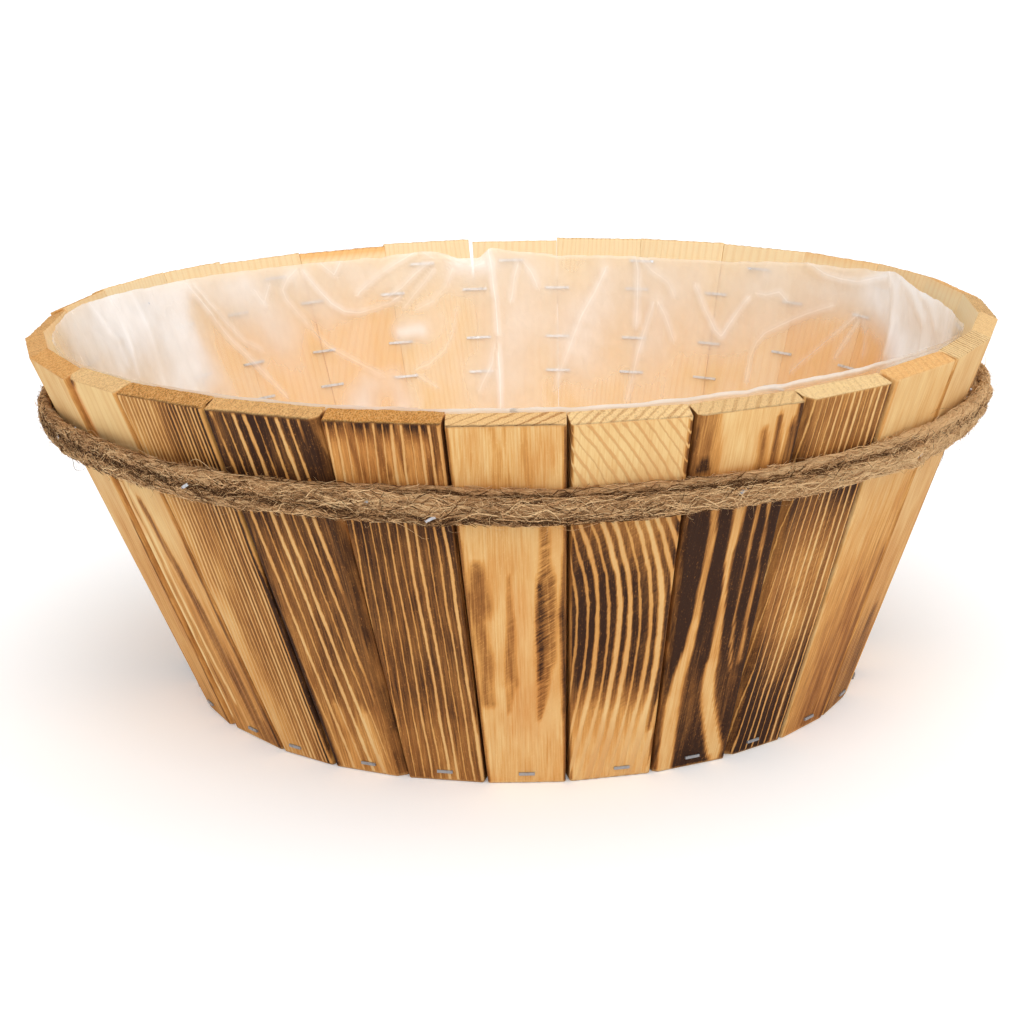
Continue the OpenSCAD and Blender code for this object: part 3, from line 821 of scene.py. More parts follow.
        edge_burn = edge * ease(6.2, 7.9, w + cloud(u / 3, v / 3, seed + 41) * 0.8)
        char = char * (1 - sawn) + edge_burn * sawn * (h > 0.5)
        line = line * (1 - sawn) + look["rings"] * sawn
        hatch = fields["hatch"] * outside * (1 - sawn) + torn * sawn
        inside = (1 - ease(1.0, 4.5, w)) * (1 - side * ease(0, 2, w)) * (1 - sawn)
        tint = fields["warm"] * outside + look["inside"] * (1 - outside) * (
            1.15 - ease(0.72, 0.95, h)) + 1.6 * max(look["top"][0] - 0.4, 0) * (
            1 - outside) * ease(0.972, 0.99, h)
        for name, values in (
            ("board", np.stack([u, v, w + seed * 50], 1)), ("ring", ring), ("char", char),
            ("line", line), ("wide", fields["wide"] * outside + 1 - outside),
            ("inside", inside), ("hatch", hatch),
            ("warm", tint * (1 - sawn) + warm * sawn), ("sawn", sawn),
        ):
            keep(mesh, name, values)

        # Relief: brushed grain stands up as ridges, and saw and wear leave the ends uneven
        off = np.abs(ring - np.round(ring)) * 2
        ridges = (1 - ease(0.12, 0.75, off)) * line * np.clip(look["pitch"] / 3 - 0.4, 0, 1)
        ridges *= np.maximum(0.35 + 0.65 * char, look["relief"]) * size.ridge
        uneven = cloud(u / 11, v / 40, seed + 51) * 0.12 * MM
        out_move = (ridges + uneven) * ease(6.8, 7.9, w) * (1 - sawn)
        worn = cloud(u / 2.2, w / 2.5, seed + 61) * (0.1 + 0.3 * torn) * MM * sawn * (h > 0.5)
        chip = np.clip(cloud(u / 2.6, v / 2, seed + 71) - 0.15, 0, 1) * 0.9 * MM
        chip *= (1 - ease(0.2, 2.2, from_top)) * ease(5.5, 8, w) * (0.3 + torn)
        move = axes[2] * (out_move - chip)[:, None] + top[1] * (worn - chip * 0.6)[:, None]
        # Staves meet edge to edge, and the open joint stands open only at the rim
        move += axes[0] * (0.13 * MM * np.sign(facing) * side)[:, None]
        move += axes[0] * (closing * 0.85 * MM * ease(-1, 1, s * closing)
                           * (1 - ease(0.86, 0.97, h)))[:, None]
        move_to(mesh, places + move)


class BASKET_OT_floor_board(bpy.types.Operator):
    """Gives the round floor board its sawn pine"""

    bl_idname = "basket.floor_board"
    bl_label = "Floor board"

    def execute(self, context):
        size = context.scene.basket_staves
        material = finish_from("Pine, sawn", sawn_board(), {
            "Pale": (*size.fresh_wood, 1), "Golden": (*size.golden_wood, 1)}, 0.3 * MM,
            Specular_IOR_Level=0.16)
        dress("floor_board", material)
        return {"FINISHED"}


# Rope: three soft strands laid round each other, pressed flat against the staves

ROPE_MIDDLE = (0.313, 0.917, 124.5)
ROPE_RADIUS = 193.66
# Mean radius of the rope's section, which turns a length over the rope into an angle
ROPE_GIRTH = 5.5
# Angle of the plain ring that is spun and then laid along the rope
SPUN_ANGLE = 350
# Angle, place round the rope and how far the fibres rise over each staple's crown
ROPE_STAPLES = ((23.2, 0.33, 1.5), (49.4, -0.1, 1.35), (74.1, 0.08, 1.4), (98.4, 0, 1.1),
                (125.6, -0.3, 0.7), (268.6, 0.5, 0.3), (296.8, 0.08, 0.6), (323.1, -0.05, 0.85),
                (345, 0.48, 1.7), (351.6, -0.4, 2.1))
# Angle from the front and how far the rope rises or hangs there
ROPE_SWAY = ((-75, -1.2), (-65, 0), (-50, 1), (-30, 0), (-8, 0.5), (2, -1), (12, -1.2),
             (25, -0.3), (45, 0), (60, 1.2), (75, 0.4), (90, -0.6), (110, 0), (180, 0.6),
             (245, -0.8), (262, -2.6), (275, -2.6), (285, -1.2))


def jute_fibre():
    """Twisted fibres of random tone, with painted shade between the strands and under the rope,
    and painted light on the right side.
    """
    tree, given, end = effect("Jute fibre", {
        "Jute": ink(196, 148, 100), "Shade": ink(82, 54, 32)})
    lay, tone, deep = kept(tree, "lay", "Vector"), kept(tree, "tone"), kept(tree, "deep")
    fibre = noise(tree, stretched(tree, lay, 0.22, 1.9, 1), detail=3, roughness=0.65)
    fine = noise(tree, stretched(tree, lay, 0.9, 3.4, 1), detail=3, roughness=0.7)
    patch = noise(tree, stretched(tree, lay, 0.16, 0.3, 1), detail=2)
    value = tone
    for texture, amount in ((fibre, 1.7), (fine, 1.5), (patch, 0.7)):
        value = varied(tree, value, texture, amount)
    # Painted shade: darker deep between the strands and on the rope's underside
    value = times(tree, deep, -0.5, value, clamp=True)
    shade = blend(tree, step(tree, value, 0.0, 0.42), given["Shade"], given["Jute"])
    # The highest values, from random fibre tone and the painted light on the right side, take a
    # light fibre colour
    shade = blend(tree, step(tree, value, 0.4, 0.95), shade, ink(240, 204, 154))
    height = times(tree, fine, 0.8, fibre)
    give(tree, end, Color=shade, Roughness=step(tree, fine, 0.2, 0.8, 0.72, 0.9), Height=height)
    return tree


class RopeLay:
    """Where the rope runs, and the place of any point on or over it."""

    def __init__(self, size):
        places = places_of(frame["nodes"]["rope"].data) / MM
        angles = np.sort(np.unique(np.round(np.degrees(np.arctan2(
            places[:, 0] - ROPE_MIDDLE[0], -(places[:, 1] - ROPE_MIDDLE[1]))) % 360, 2)))
        gaps = np.diff(np.append(angles, angles[0] + 360))
        self.begin = float(angles[(gaps.argmax() + 1) % len(angles)]) + 0.1
        self.span = 360 - float(gaps.max()) - 0.2
        self.whole = ROPE_RADIUS * math.radians(self.span)
        self.half_out = size.thickness / MM / 2
        self.half_up = size.width / MM / 2
        self.turn = size.turn / MM

    def lit_side(self, share):
        """1 on the right side, where the rope is painted lighter as painted light from that
        side, and 0 elsewhere.
        """
        angle = (self.begin + share * self.span) % 360
        return ease(10, 60, angle) - ease(120, 170, angle)

    def surface(self, share, phi, lift=0.0):
        """share runs 0 to 1 along the rope and phi round it from outwards over the top."""
        angle = self.begin + share * self.span
        theta = np.radians(angle)
        arc = ROPE_RADIUS * theta
        sway = np.interp((angle + 75) % 360 - 75, *zip(*ROPE_SWAY))
        sway = sway + cloud(angle / 9, angle * 0, 301) * 0.5
        rise = -1.2 * np.sin(theta) - 2.4 * np.cos(theta) + sway
        laid = 2 * math.pi * (arc - 2 * math.pi * ROPE_RADIUS) / self.turn
        phase = phi + laid + 1.65 + cloud(arc / 60, arc * 0, 311) * 0.2
        lobe = np.abs(np.cos(1.5 * phase))
        strand = (phase * 1.5 / math.pi) % 3
        around = np.cos(phi), np.sin(phi)
        wrapped = 6 * around[0], 6 * around[1]
        fuzz = cloud(wrapped[0] + arc / 5 + 40 * np.floor(strand), wrapped[1], 321, 3)
        thick = 1.02 + 0.05 * cloud(arc / 23, arc * 0, 331) + 0.06 * cloud(
            arc / 7.5, wrapped[1] / 4, 333, 2)
        groove = 0.4 - 0.15 * self.lit_side(share)
        radius = thick * (1 - groove * (1 - lobe) ** 1.5 + 0.07 * fuzz)
        # Fibres lie over the staples' crowns, and only a short piece of each is bare
        for a, b, rise_over in ROPE_STAPLES:
            gap = ((angle - a + 180) % 360 - 180) * math.pi / 180 * ROPE_RADIUS
            turned = (phi - b) * ROPE_GIRTH
            lift = lift + rise_over * (1.5 * np.exp(-(gap / 5.5) ** 2 - (turned / 4.5) ** 2)
                                       - 1.6 * np.exp(-(gap / 1.9) ** 2 - (turned / 1.5) ** 2))
        ends = np.exp(-((angle % 360 - 88) / 22) ** 2) + np.exp(-((angle % 360 - 270) / 22) ** 2)
        half_out = np.where(around[0] > 0, self.half_out - 0.9 * ends, self.half_out + 0.8)
        square = 1 / (np.abs(around[0]) ** 3 + np.abs(around[1]) ** 3) ** (1 / 3)
        out = around[0] * square * (half_out * radius + lift)
        upward = around[1] * square * (self.half_up * radius + lift)
        e_x, e_y = np.sin(theta), -np.cos(theta)
        out_r, out_z = out * math.cos(LEAN), -out * math.sin(LEAN)
        up_r, up_z = upward * math.sin(LEAN), upward * math.cos(LEAN)
        flat = ROPE_RADIUS + rise * math.tan(LEAN) + out_r + up_r
        return np.stack([ROPE_MIDDLE[0] + flat * e_x,
                         ROPE_MIDDLE[1] + flat * e_y,
                         ROPE_MIDDLE[2] + rise + out_z + up_z], -1) * MM, 1 - lobe, arc, phase


def thread(sides, pieces):
    """A closed thread of a few dozen faces along +Z, one unit a piece."""
    shape = bmesh.new()
    bmesh.ops.create_circle(shape, cap_ends=True, segments=sides, radius=1)
    cap = shape.faces[:]
    for _ in range(pieces):
        grown = bmesh.ops.extrude_face_region(shape, geom=cap)["geom"]
        bmesh.ops.translate(shape, vec=(0, 0, 1),
                            verts=[g for g in grown if isinstance(g, bmesh.types.BMVert)])
        if cap[0].is_valid and len(shape.faces) > sides + 1:
            inner = [f for f in cap if f.is_valid and f.calc_center_median().z > 0.5]
            bmesh.ops.delete(shape, geom=inner, context="FACES_ONLY")
        cap = [g for g in grown if isinstance(g, bmesh.types.BMFace)]
    bmesh.ops.recalc_face_normals(shape, faces=shape.faces)
    return mesh_from(shape, "thread")


def lay_threads(name, paths, radii, tones_of, material, pieces):
    """One piece of many threads; paths holds the points of each, radii their half thickness."""
    template = thread(3, pieces)
    shape = bmesh.new()
    for _ in range(len(paths)):
        shape.from_mesh(template)
    piece = piece_from(shape, name, material)
    base = places_of(template)
    layer = np.rint(base[:, 2]).astype(int)
    along = np.gradient(paths, axis=1)
    along /= np.linalg.norm(along, axis=2, keepdims=True) + 1e-12
    side = np.cross(along, (0.13, 0.21, 0.97))
    side /= np.linalg.norm(side, axis=2, keepdims=True) + 1e-12
    other = np.cross(along, side)
    places = paths[:, layer] + radii[:, layer, None] * (
        side[:, layer] * base[None, :, :1] + other[:, layer] * base[None, :, 1:2])
    count = len(base)
    keep(piece.data, "tone", np.repeat(tones_of, count))
    keep(piece.data, "deep", np.zeros(len(paths) * count))
    number = np.repeat(np.arange(len(paths)), count) * 7.3
    keep(piece.data, "lay", np.stack([number, np.tile(layer, len(paths)) * 2.0, number * 0], 1))
    move_to(piece.data, places.reshape(-1, 3))
    bpy.data.meshes.remove(template)
    return piece


class BASKET_OT_rope(bpy.types.Operator):
    """Makes the jute rope with its strands, its loose fibres and its hairs"""

    bl_idname = "basket.rope"
    bl_label = "Rope"

    def execute(self, context):
        size = context.scene.basket_rope
        lay = RopeLay(size)
        group = jute_fibre()
        given = {"Jute": (*size.jute, 1), "Shade": (*size.shade, 1)}
        body_finish = finish_from("Jute, laid", group, given, 0.9 * MM, Specular_IOR_Level=0.1)
        loose_finish = finish_from("Jute, loose fibres", group, given, 0.02 * MM,
                                   Specular_IOR_Level=0.1)

        rounds, steps = 44, 900
        shape = bmesh.new()
        upright = Matrix.Translation((1, 0, 0)) @ Matrix.Rotation(math.pi / 2, 4, "X")
        bmesh.ops.create_circle(shape, cap_ends=False, segments=rounds, radius=0.1,
                                matrix=upright)
        bmesh.ops.spin(shape, geom=shape.verts[:] + shape.edges[:], cent=(0, 0, 0),
                       axis=(0, 0, 1), angle=math.radians(SPUN_ANGLE), steps=steps,
                       use_merge=False)
        open_edges = [e for e in shape.edges if e.is_boundary]
        bmesh.ops.edgeloop_fill(shape, edges=open_edges)
        for face in [f for f in shape.faces if len(f.verts) > 4]:
            bmesh.ops.poke(shape, faces=[face])
        piece = piece_from(shape, "jute_rope", body_finish)
        plain = places_of(piece.data)
        turned = np.degrees(np.arctan2(plain[:, 1], plain[:, 0])) % 360
        turned = np.where(turned > SPUN_ANGLE + 5, 0, turned)
        share = np.clip(turned / SPUN_ANGLE, 0, 1)
        away = np.hypot(plain[:, 0], plain[:, 1]) - 1
        phi = np.arctan2(plain[:, 2], away)
        middle = np.hypot(away, plain[:, 2]) < 0.05
        places, deep, arc, phase = lay.surface(share, phi)
        for end in (0, 1):
            spot = middle & (np.abs(share - end) < 0.01)
            if spot.any():
                ring = places[~middle & (np.abs(share - end) < 1e-4)]
                places[spot] = ring.mean(0)
        move_to(piece.data, places)
        keep(piece.data, "lay", np.stack([arc, phase * 6.2, np.floor(phase)], 1))
        # Painted shade, kept as deep: darker in the grooves between the strands and on the
        # rope's underside
        keep(piece.data, "deep", ease(0.25, 1, deep) + 0.25 * ease(0.2, 1, -np.sin(phi)))
        # Painted light: the rope's right side is painted lighter
        keep(piece.data, "tone", 0.5 + 0.14 * cloud(arc / 14, phase * 2, 341)
             + 0.45 * lay.lit_side(share))
        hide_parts("rope")

        dice = np.random.default_rng(77)
        self.lying(lay, "jute_fibres", size.fibres, 6, (5, 18), 0.22, (0.13, 0.25), dice,
                   loose_finish)
        self.lying(lay, "jute_curls", size.curls, 5, (2.2, 7.5), 0.55, (0.09, 0.18), dice,
                   loose_finish)
        self.hairs(lay, size.hairs, dice, loose_finish)
        self.stray(lay, dice, loose_finish)
        self.frayed_ends(lay, dice, loose_finish)
        return {"FINISHED"}

    def lying(self, lay, name, count, pieces, sizes, spread, thickness, dice, material):
        """Wavy fibres on the rope, spread by an angle about the way that the strands run."""
        each, t = (count, 1), np.linspace(-0.5, 0.5, pieces + 1)[None, :]
        share, phi = dice.random(each), dice.normal(0.1, 0.95, each).clip(-2.1, 2.1)
        size = dice.uniform(*sizes, each)
        turn = 0.04 + dice.normal(0, spread, each)
        bend, wave = dice.normal(0, 0.22, each), dice.normal(0, 0.05, each)
        weave = size * wave * np.sin(t * 7 + dice.uniform(0, 6, each))
        along = size * t * np.cos(turn) - weave * np.sin(turn)
        over = size * t * np.sin(turn) + weave * np.cos(turn) + size * bend * (
            4 * t**2 - 0.5) * 0.4
        lift = 0.05 + dice.uniform(0, 0.45, each) + dice.uniform(
            -0.3, 0.8, each) * np.clip(t * 2, 0, 1) ** 2 + dice.uniform(
            -0.3, 0.5, each) * np.clip(-t * 2, 0, 1) ** 2
        points, deep, _, _ = lay.surface(np.clip(share + along / lay.whole, 0.001, 0.999),
                                         phi + over / ROPE_GIRTH, lift)
        radii = dice.uniform(*thickness, each) * (1 - 0.7 * (2 * np.abs(t)) ** 3) * MM
        # Painted shade: fibres down in the grooves are darker; painted light: fibres on the
        # right side are lighter
        sunk = 0.75 * ease(0.3, 1, deep[:, pieces // 2])
        tone = dice.beta(0.8, 0.75, count) * 1.1 - 0.08 - sunk + 0.62 * lay.lit_side(share[:, 0])
        lay_threads(name, points, radii, tone, material, pieces)

    def hairs(self, lay, count, dice, material):
        """Fine short hairs that stand off the rope and droop."""
        pieces, each = 5, (count, 1)
        t = np.linspace(0, 1, pieces + 1)[None, :]
        share, phi = dice.random(each), dice.normal(0.2, 1.2, each).clip(-2.0, 2.2)
        tall = dice.gamma(1.9, 0.62, each).clip(0.3, 5.0)
        run = dice.normal(0, 3.2, each)
        curl = dice.normal(0, 0.9, each)
        shares = np.clip(share + (run * t + curl * np.sin(t * 5)) / lay.whole, 0.001, 0.999)
        phis = phi + dice.normal(0, 0.35, each) * t + 0.14 * np.sin(
            t * 6 + dice.uniform(0, 6, each))
        lift = tall * np.sin(t * dice.uniform(1.2, 2.6, each)) - 0.1
        points = lay.surface(shares, phis, lift)[0]
        points[..., 2] -= 0.06 * (tall * t) ** 2 * MM
        radii = dice.uniform(0.04, 0.08, each) * (1 - 0.7 * t) * MM
        lay_threads("jute_hairs", points, radii, dice.uniform(0.2, 1, count), material, pieces)

    def stray(self, lay, dice, material):
        """Long fibres that have worked loose and arch away above and below the rope."""
        pieces, count = 10, 150
        each = (count, 1)
        t = np.linspace(0, 1, pieces + 1)[None, :]
        over = dice.random(each) < 0.65
        phi = np.where(over, dice.uniform(0.9, 1.7, each), dice.uniform(-1.6, -0.9, each))
        run = dice.uniform(7, 24, each) * np.where(dice.random(each) < 0.5, 1, -1)
        share = np.clip(dice.uniform(0.01, 0.99, each) + run * t / lay.whole, 0.001, 0.999)
        tall = dice.gamma(2.2, 0.9, each).clip(0.6, 5)
        lift = tall * np.sin(t * dice.uniform(1.6, 3.1, each)) + 0.35 * np.sin(
            t * 8 + dice.uniform(0, 6, each)) * t
        points = lay.surface(share, phi + dice.normal(0, 0.3, each) * t, lift)[0]
        radii = dice.uniform(0.08, 0.15, each) * (1 - 0.6 * t) * MM
        lay_threads("jute_stray_fibres", points, radii, dice.uniform(-0.1, 0.9, count), material,
                    pieces)

    def frayed_ends(self, lay, dice, material):
        """A brush of fibres on each cut end."""
        pieces, count = 6, 260
        each = (count, 1)
        t = np.linspace(0, 1, pieces + 1)[None, :]
        last = dice.random(each) < 0.5
        reach_out = dice.uniform(1, 2.6, each) * np.where(last, 1, -1)
        share = np.where(last, 1 - 2 / lay.whole, 2 / lay.whole) + reach_out * t / lay.whole
        phi = dice.uniform(-math.pi, math.pi, each) + dice.normal(0, 0.3, each) * t
        sunk = -dice.uniform(0, 2.6, each) + dice.normal(0, 0.5, each) * t
        points = lay.surface(share, phi, sunk)[0]
        radii = dice.uniform(0.07, 0.16, each) * (1 - 0.6 * t) * MM
        lay_threads("jute_frayed_ends", points, radii, dice.uniform(0.35, 0.9, count), material,
                    pieces)


# Film: a bag that hangs inside the staves. Angles run round from the front over the
# right, in degrees; heights and folds are in mm.

FILM_EDGE = (
    (0, 155.2), (12, 155.4), (20, 156), (45, 157), (58, 156), (70, 154), (78, 151.5), (84, 150),
    (90, 150.2), (97, 150.5), (103, 150.6), (107, 152), (112, 154.6), (117, 153), (123, 151.5),
    (133, 150.6), (145, 147.4), (157, 147.3), (172, 147.6), (178, 149), (183, 151.6),
    (184.6, 147), (188, 147), (191, 150.5), (193.5, 151.5), (200, 149.7), (208, 149.8),
    (217, 150), (228, 151.3), (236, 151.6), (243, 152.3), (252, 153.6), (259, 154.6),
    (268, 154.6), (275, 153.4), (285, 154.6), (300, 155.2), (313, 155.6), (331, 156.2),
    (348, 155.6), (360, 155.2),
)
# Radius at which angles round the film are counted as lengths
FILM_RADIUS = 175
# The foot's centre lies this far to the right of the rim's, which is this high
FOOT_SHIFT, RIM_HEIGHT = 4.2, 152.5
# Height, half width, whiteness of the painted highlight and the points of each fold
FILM_FOLDS = (
    (1.6, 2.6, 0.8, ((234, 148.2), (232.5, 141), (230.8, 130.6), (229, 120.9), (226.5, 110.8),
     (224, 100.8), (221.9, 92.1))),
    (1.2, 2.2, 0.6, ((232.5, 147.5), (230.9, 138.7), (228.6, 128.1), (226.6, 119.7),
     (224.1, 114.4))),
    (1.8, 2.6, 0.9, ((213.4, 149.7), (212.3, 143), (211, 136.5), (209.6, 130.1), (207.7, 126),
     (205.1, 124.7), (202.4, 125.7), (199.6, 128), (197.7, 130.9))),
    (1.2, 2.6, 0.6, ((213.4, 149.3), (215.7, 144.9), (217.2, 139.5), (217, 134.9),
     (215.5, 126.9), (213.5, 117.2), (211.9, 110.4), (208.9, 105.1), (205.9, 99.7),
     (203.3, 95.2))),
    (1.4, 2.2, 0.8, ((204.5, 133.8), (201.4, 140.5), (198.6, 145.1), (195.9, 148.6),
     (193.8, 151.5))),
    (1.4, 2.2, 0.7, ((200, 130.3), (197.1, 135), (194.5, 141.2), (192.1, 145.8), (189.6, 146.3),
     (186.7, 144.1))),
    (1.2, 2.2, 0.7, ((193.3, 150.8), (191.5, 146.8), (188.7, 143.7), (185.7, 142.4),
     (184, 143.8))),
    (1.2, 2.2, 0.7, ((196.8, 126.3), (195.2, 131.3), (193.4, 136.3), (192, 141.7))),
    (1, 2, 0.6, ((195, 124.4), (192.6, 127), (190.2, 133.8), (189, 141.5))),
    (1.8, 2.6, 1, ((183.3, 150.7), (182.8, 140.3), (182.6, 126.7), (182.6, 110.1), (182.7, 92),
     (182.9, 75.3))),
    (1, 3, 0.5, ((188.9, 122.1), (189.8, 112.5), (191.7, 103.8), (194.8, 97.6), (197.8, 95.7))),
    (1, 2, 0.6, ((209.7, 149.2), (208, 143.5), (206.6, 148.2))),
    (1, 2.2, 0.5, ((221.9, 139.9), (221.1, 134.8), (219.5, 142.2))),
    (1.2, 2.2, 0.6, ((197.6, 95.2), (195.6, 90.7), (194, 87.4))),
    (1.4, 4, 0.5, ((257.8, 154.4), (256.3, 144.8), (254.7, 133.9), (255, 124.9))),
    (1.4, 4, 0.5, ((251.4, 153.5), (250.9, 143), (251.7, 130.6), (252.9, 120))),
    (1.4, 4, 0.5, ((246.2, 151.1), (245.6, 137), (246.1, 124.4), (247, 111.9))),
    (1, 2.2, 0.5, ((186.4, 84.9), (183.8, 96.7), (182.9, 108.6))),
    (1.4, 2.4, 0.8, ((160.3, 147.4), (159.7, 140.5), (159.6, 130.1), (159.5, 115.1))),
    (1, 2.6, 0.5, ((159.7, 147.5), (157.5, 140.8), (154.6, 135.8), (153.5, 130.2))),
    (1.4, 3.2, 0.6, ((165, 140.1), (166.5, 129.5), (168.4, 118.8), (169.9, 108.2),
     (171.6, 96.2), (173.2, 84.2))),
    (1.2, 2.4, 0.7, ((156.6, 128.2), (157.4, 121.1), (158.2, 110.8), (158.9, 97.3),
     (160, 80.7))),
    (1.2, 2.4, 0.6, ((156.6, 128.2), (154.7, 120.3), (152.8, 109.5))),
    (1.6, 2.4, 0.9, ((149.8, 134.6), (147.7, 124.7), (145.5, 116.3), (144.1, 113.5),
     (142.9, 120), (141.2, 129.3), (139.8, 134.9))),
    (1, 2.2, 0.6, ((139.8, 134.9), (137.5, 134.3), (135.2, 136.2), (133.6, 132.9))),
    (2, 3.4, 0.9, ((130.6, 150.5), (127, 146.9), (123.7, 146.2), (120.2, 146.2), (117.1, 149.1),
     (113.3, 151.8))),
    (1.2, 2.4, 0.7, ((118.5, 132.1), (122.5, 121.4), (126.2, 111.1), (129.5, 102.5))),
    (1, 2.2, 0.6, ((117.8, 131), (119.1, 123.3), (120.7, 113.6))),
    (1, 2.2, 0.5, ((117.1, 131.3), (115.4, 125.1), (114.4, 117.1))),
    (1.2, 3, 0.6, ((124.8, 133.6), (129.4, 127.5), (133.9, 121.4), (136.5, 117.3),
     (137.6, 112.5), (138.2, 105.3), (137.9, 95.1))),
    (2.2, 3, 0.9, ((113.6, 154.8), (110.9, 145.7), (109.2, 133.9), (108.5, 121.1))),
    (1.2, 2.2, 0.7, ((178.5, 146.1), (179.4, 137), (180, 126.5))),
    (1, 2, 0.6, ((178.2, 145.8), (176.6, 139.9), (175.7, 133.1))),
    (1.6, 2.4, 0.7, ((108.8, 152.3), (103.7, 146.6), (99.3, 139.4))),
    (1.4, 2.4, 0.7, ((103.7, 150.7), (97.1, 146.1), (93.9, 139.8))),
)
# Half width, whiteness and the points of each broad soft band where the film lies double; the
# whitest, at the sides, are also painted sheen where the film is seen edge-on
FILM_BANDS = (
    (26, 0.75, ((267, 150.1), (256.7, 143.6), (249.5, 135), (245, 125.2), (243.9, 115.8))),
    (20, 0.75, ((253.4, 153.7), (242.1, 149.5), (236.9, 146.8), (238, 132.8), (236.5, 117.4))),
    (18, 0.3, ((231, 147), (222, 138), (219, 125))),
    (7, -0.5, ((233.3, 136.2), (231.9, 123.8), (230.1, 109.6), (228.5, 97.8))),
    (13, 0.4, ((226.9, 145), (224.2, 137.9), (221.6, 129.4), (220.3, 119.9))),
    (10, 0.45, ((214.4, 144.4), (212.9, 136.4), (210.4, 126.6))),
    (9, 0.4, ((223, 147.7), (211.9, 148.1), (201.6, 146.6))),
    (12, 0.35, ((204.2, 138.2), (196.7, 143.9), (189.8, 141.2))),
    (9, 0.7, ((208.6, 81.1), (206, 90.7), (201.2, 92.3), (200.3, 80.9))),
    (5, 0.8, ((198, 113.8), (194.5, 114.2))),
    (7, 0.5, ((187.7, 142.4), (184.3, 142.3))),
    (16, -0.3, ((210, 105.5), (204.4, 103.7))),
    (26, 0.24, ((180.3, 143.1), (180.1, 122), (180, 99.4), (180.1, 75.4))),
    (24, 0.2, ((178.6, 141.5), (174.2, 129.3), (171.6, 114.2))),
    (14, 0.55, ((165, 132.6), (166.9, 120.4), (168.9, 106.8))),
    (14, 0.3, ((181.5, 91.9), (178.9, 114.3))),
    (12, 0.35, ((157.5, 140.8), (153.4, 142.9), (146.1, 145.8))),
    (12, 0.45, ((157, 108), (156.9, 122.9))),
    (14, 0.5, ((150.7, 128.5), (148, 120.2), (144.5, 118.1), (142.2, 136.4))),
    (12, 0.4, ((137.2, 145.2), (131, 142.8), (121.8, 142.1), (115.1, 146.5))),
    (14, 0.35, ((136, 123.6), (128.8, 133.5), (115.5, 139.2))),
    (14, -0.35, ((132.6, 107.3), (125.7, 118.8), (112.2, 121.1))),
    (24, 1.2, ((107.7, 147.3), (105.1, 140.3), (102.9, 131.8))),
    (26, 1.2, ((98.5, 148.1), (93.1, 141.7))),
    (30, 1.1, ((92, 138), (95, 110))),
    (30, 0.35, ((258, 110), (250, 60))),
)


def unrolled(angle):
    """Length round the film of an angle."""
    return angle / 180 * math.pi * FILM_RADIUS


def creased_film():
    """Milky film with painted highlights along its folds, broad bands where it lies double with
    painted sheen at the sides, and the wood behind painted into its clearest parts.
    """
    tree, given, end = effect("Creased film", {
        "Film": ink(250, 236, 224), "Clear": 0.2}, ("Color", "Roughness", "Height", "Alpha"))
    crease, fold, veil = kept(tree, "crease"), kept(tree, "fold"), kept(tree, "veil")
    place = kept(tree, "spread", "Vector")
    soft = noise(tree, stretched(tree, place, 0.035, 0.02, 1), detail=3, roughness=0.55)
    small = noise(tree, stretched(tree, place, 0.11, 0.07, 1), detail=3)
    rubbed = calc(tree, "ABSOLUTE", varied(tree, crease, small, 1.6))
    away = calc(tree, "ABSOLUTE", varied(tree, crease, small, 0.5))
    uneven = step(tree, soft, 0.3, 0.62, 0.25, 1.0)
    # Painted highlights: a thin bright line along each fold and a soft glow round it
    line = times(tree, fold, fade(tree, away, 0.03, 0.55))
    line = times(tree, line, uneven)
    glow = times(tree, fold, fade(tree, rubbed, 0.3, 4.0))
    alpha = times(tree, veil, 0.62, given["Clear"])
    alpha = times(tree, line, 0.17, alpha)
    alpha = times(tree, glow, 0.16, alpha)
    alpha = varied(tree, varied(tree, alpha, soft, 0.5), small, 0.14)
    # Painted light through the film: its clearest parts take the warm colour of the wood behind
    thin = step(tree, alpha, 0.3, 0.1)
    alpha = calc(tree, "MINIMUM", calc(tree, "MAXIMUM", alpha, 0.27), 0.97)
    # Painted highlights and sheen: fold lines, their glow and the whitest bands are painted near
    # white
    white = calc(tree, "MAXIMUM", times(tree, line, 0.65), times(tree, glow, 0.4))
    white = calc(tree, "MAXIMUM", white, step(tree, veil, 0.45, 1.0))
    shade = blend(tree, thin, given["Film"], ink(244, 214, 168))
    shade = blend(tree, white, shade, ink(255, 252, 250))
    give(tree, end, Color=shade, Roughness=step(tree, soft, 0.3, 0.7, 0.16, 0.3), Height=small,
         Alpha=alpha)
    return tree


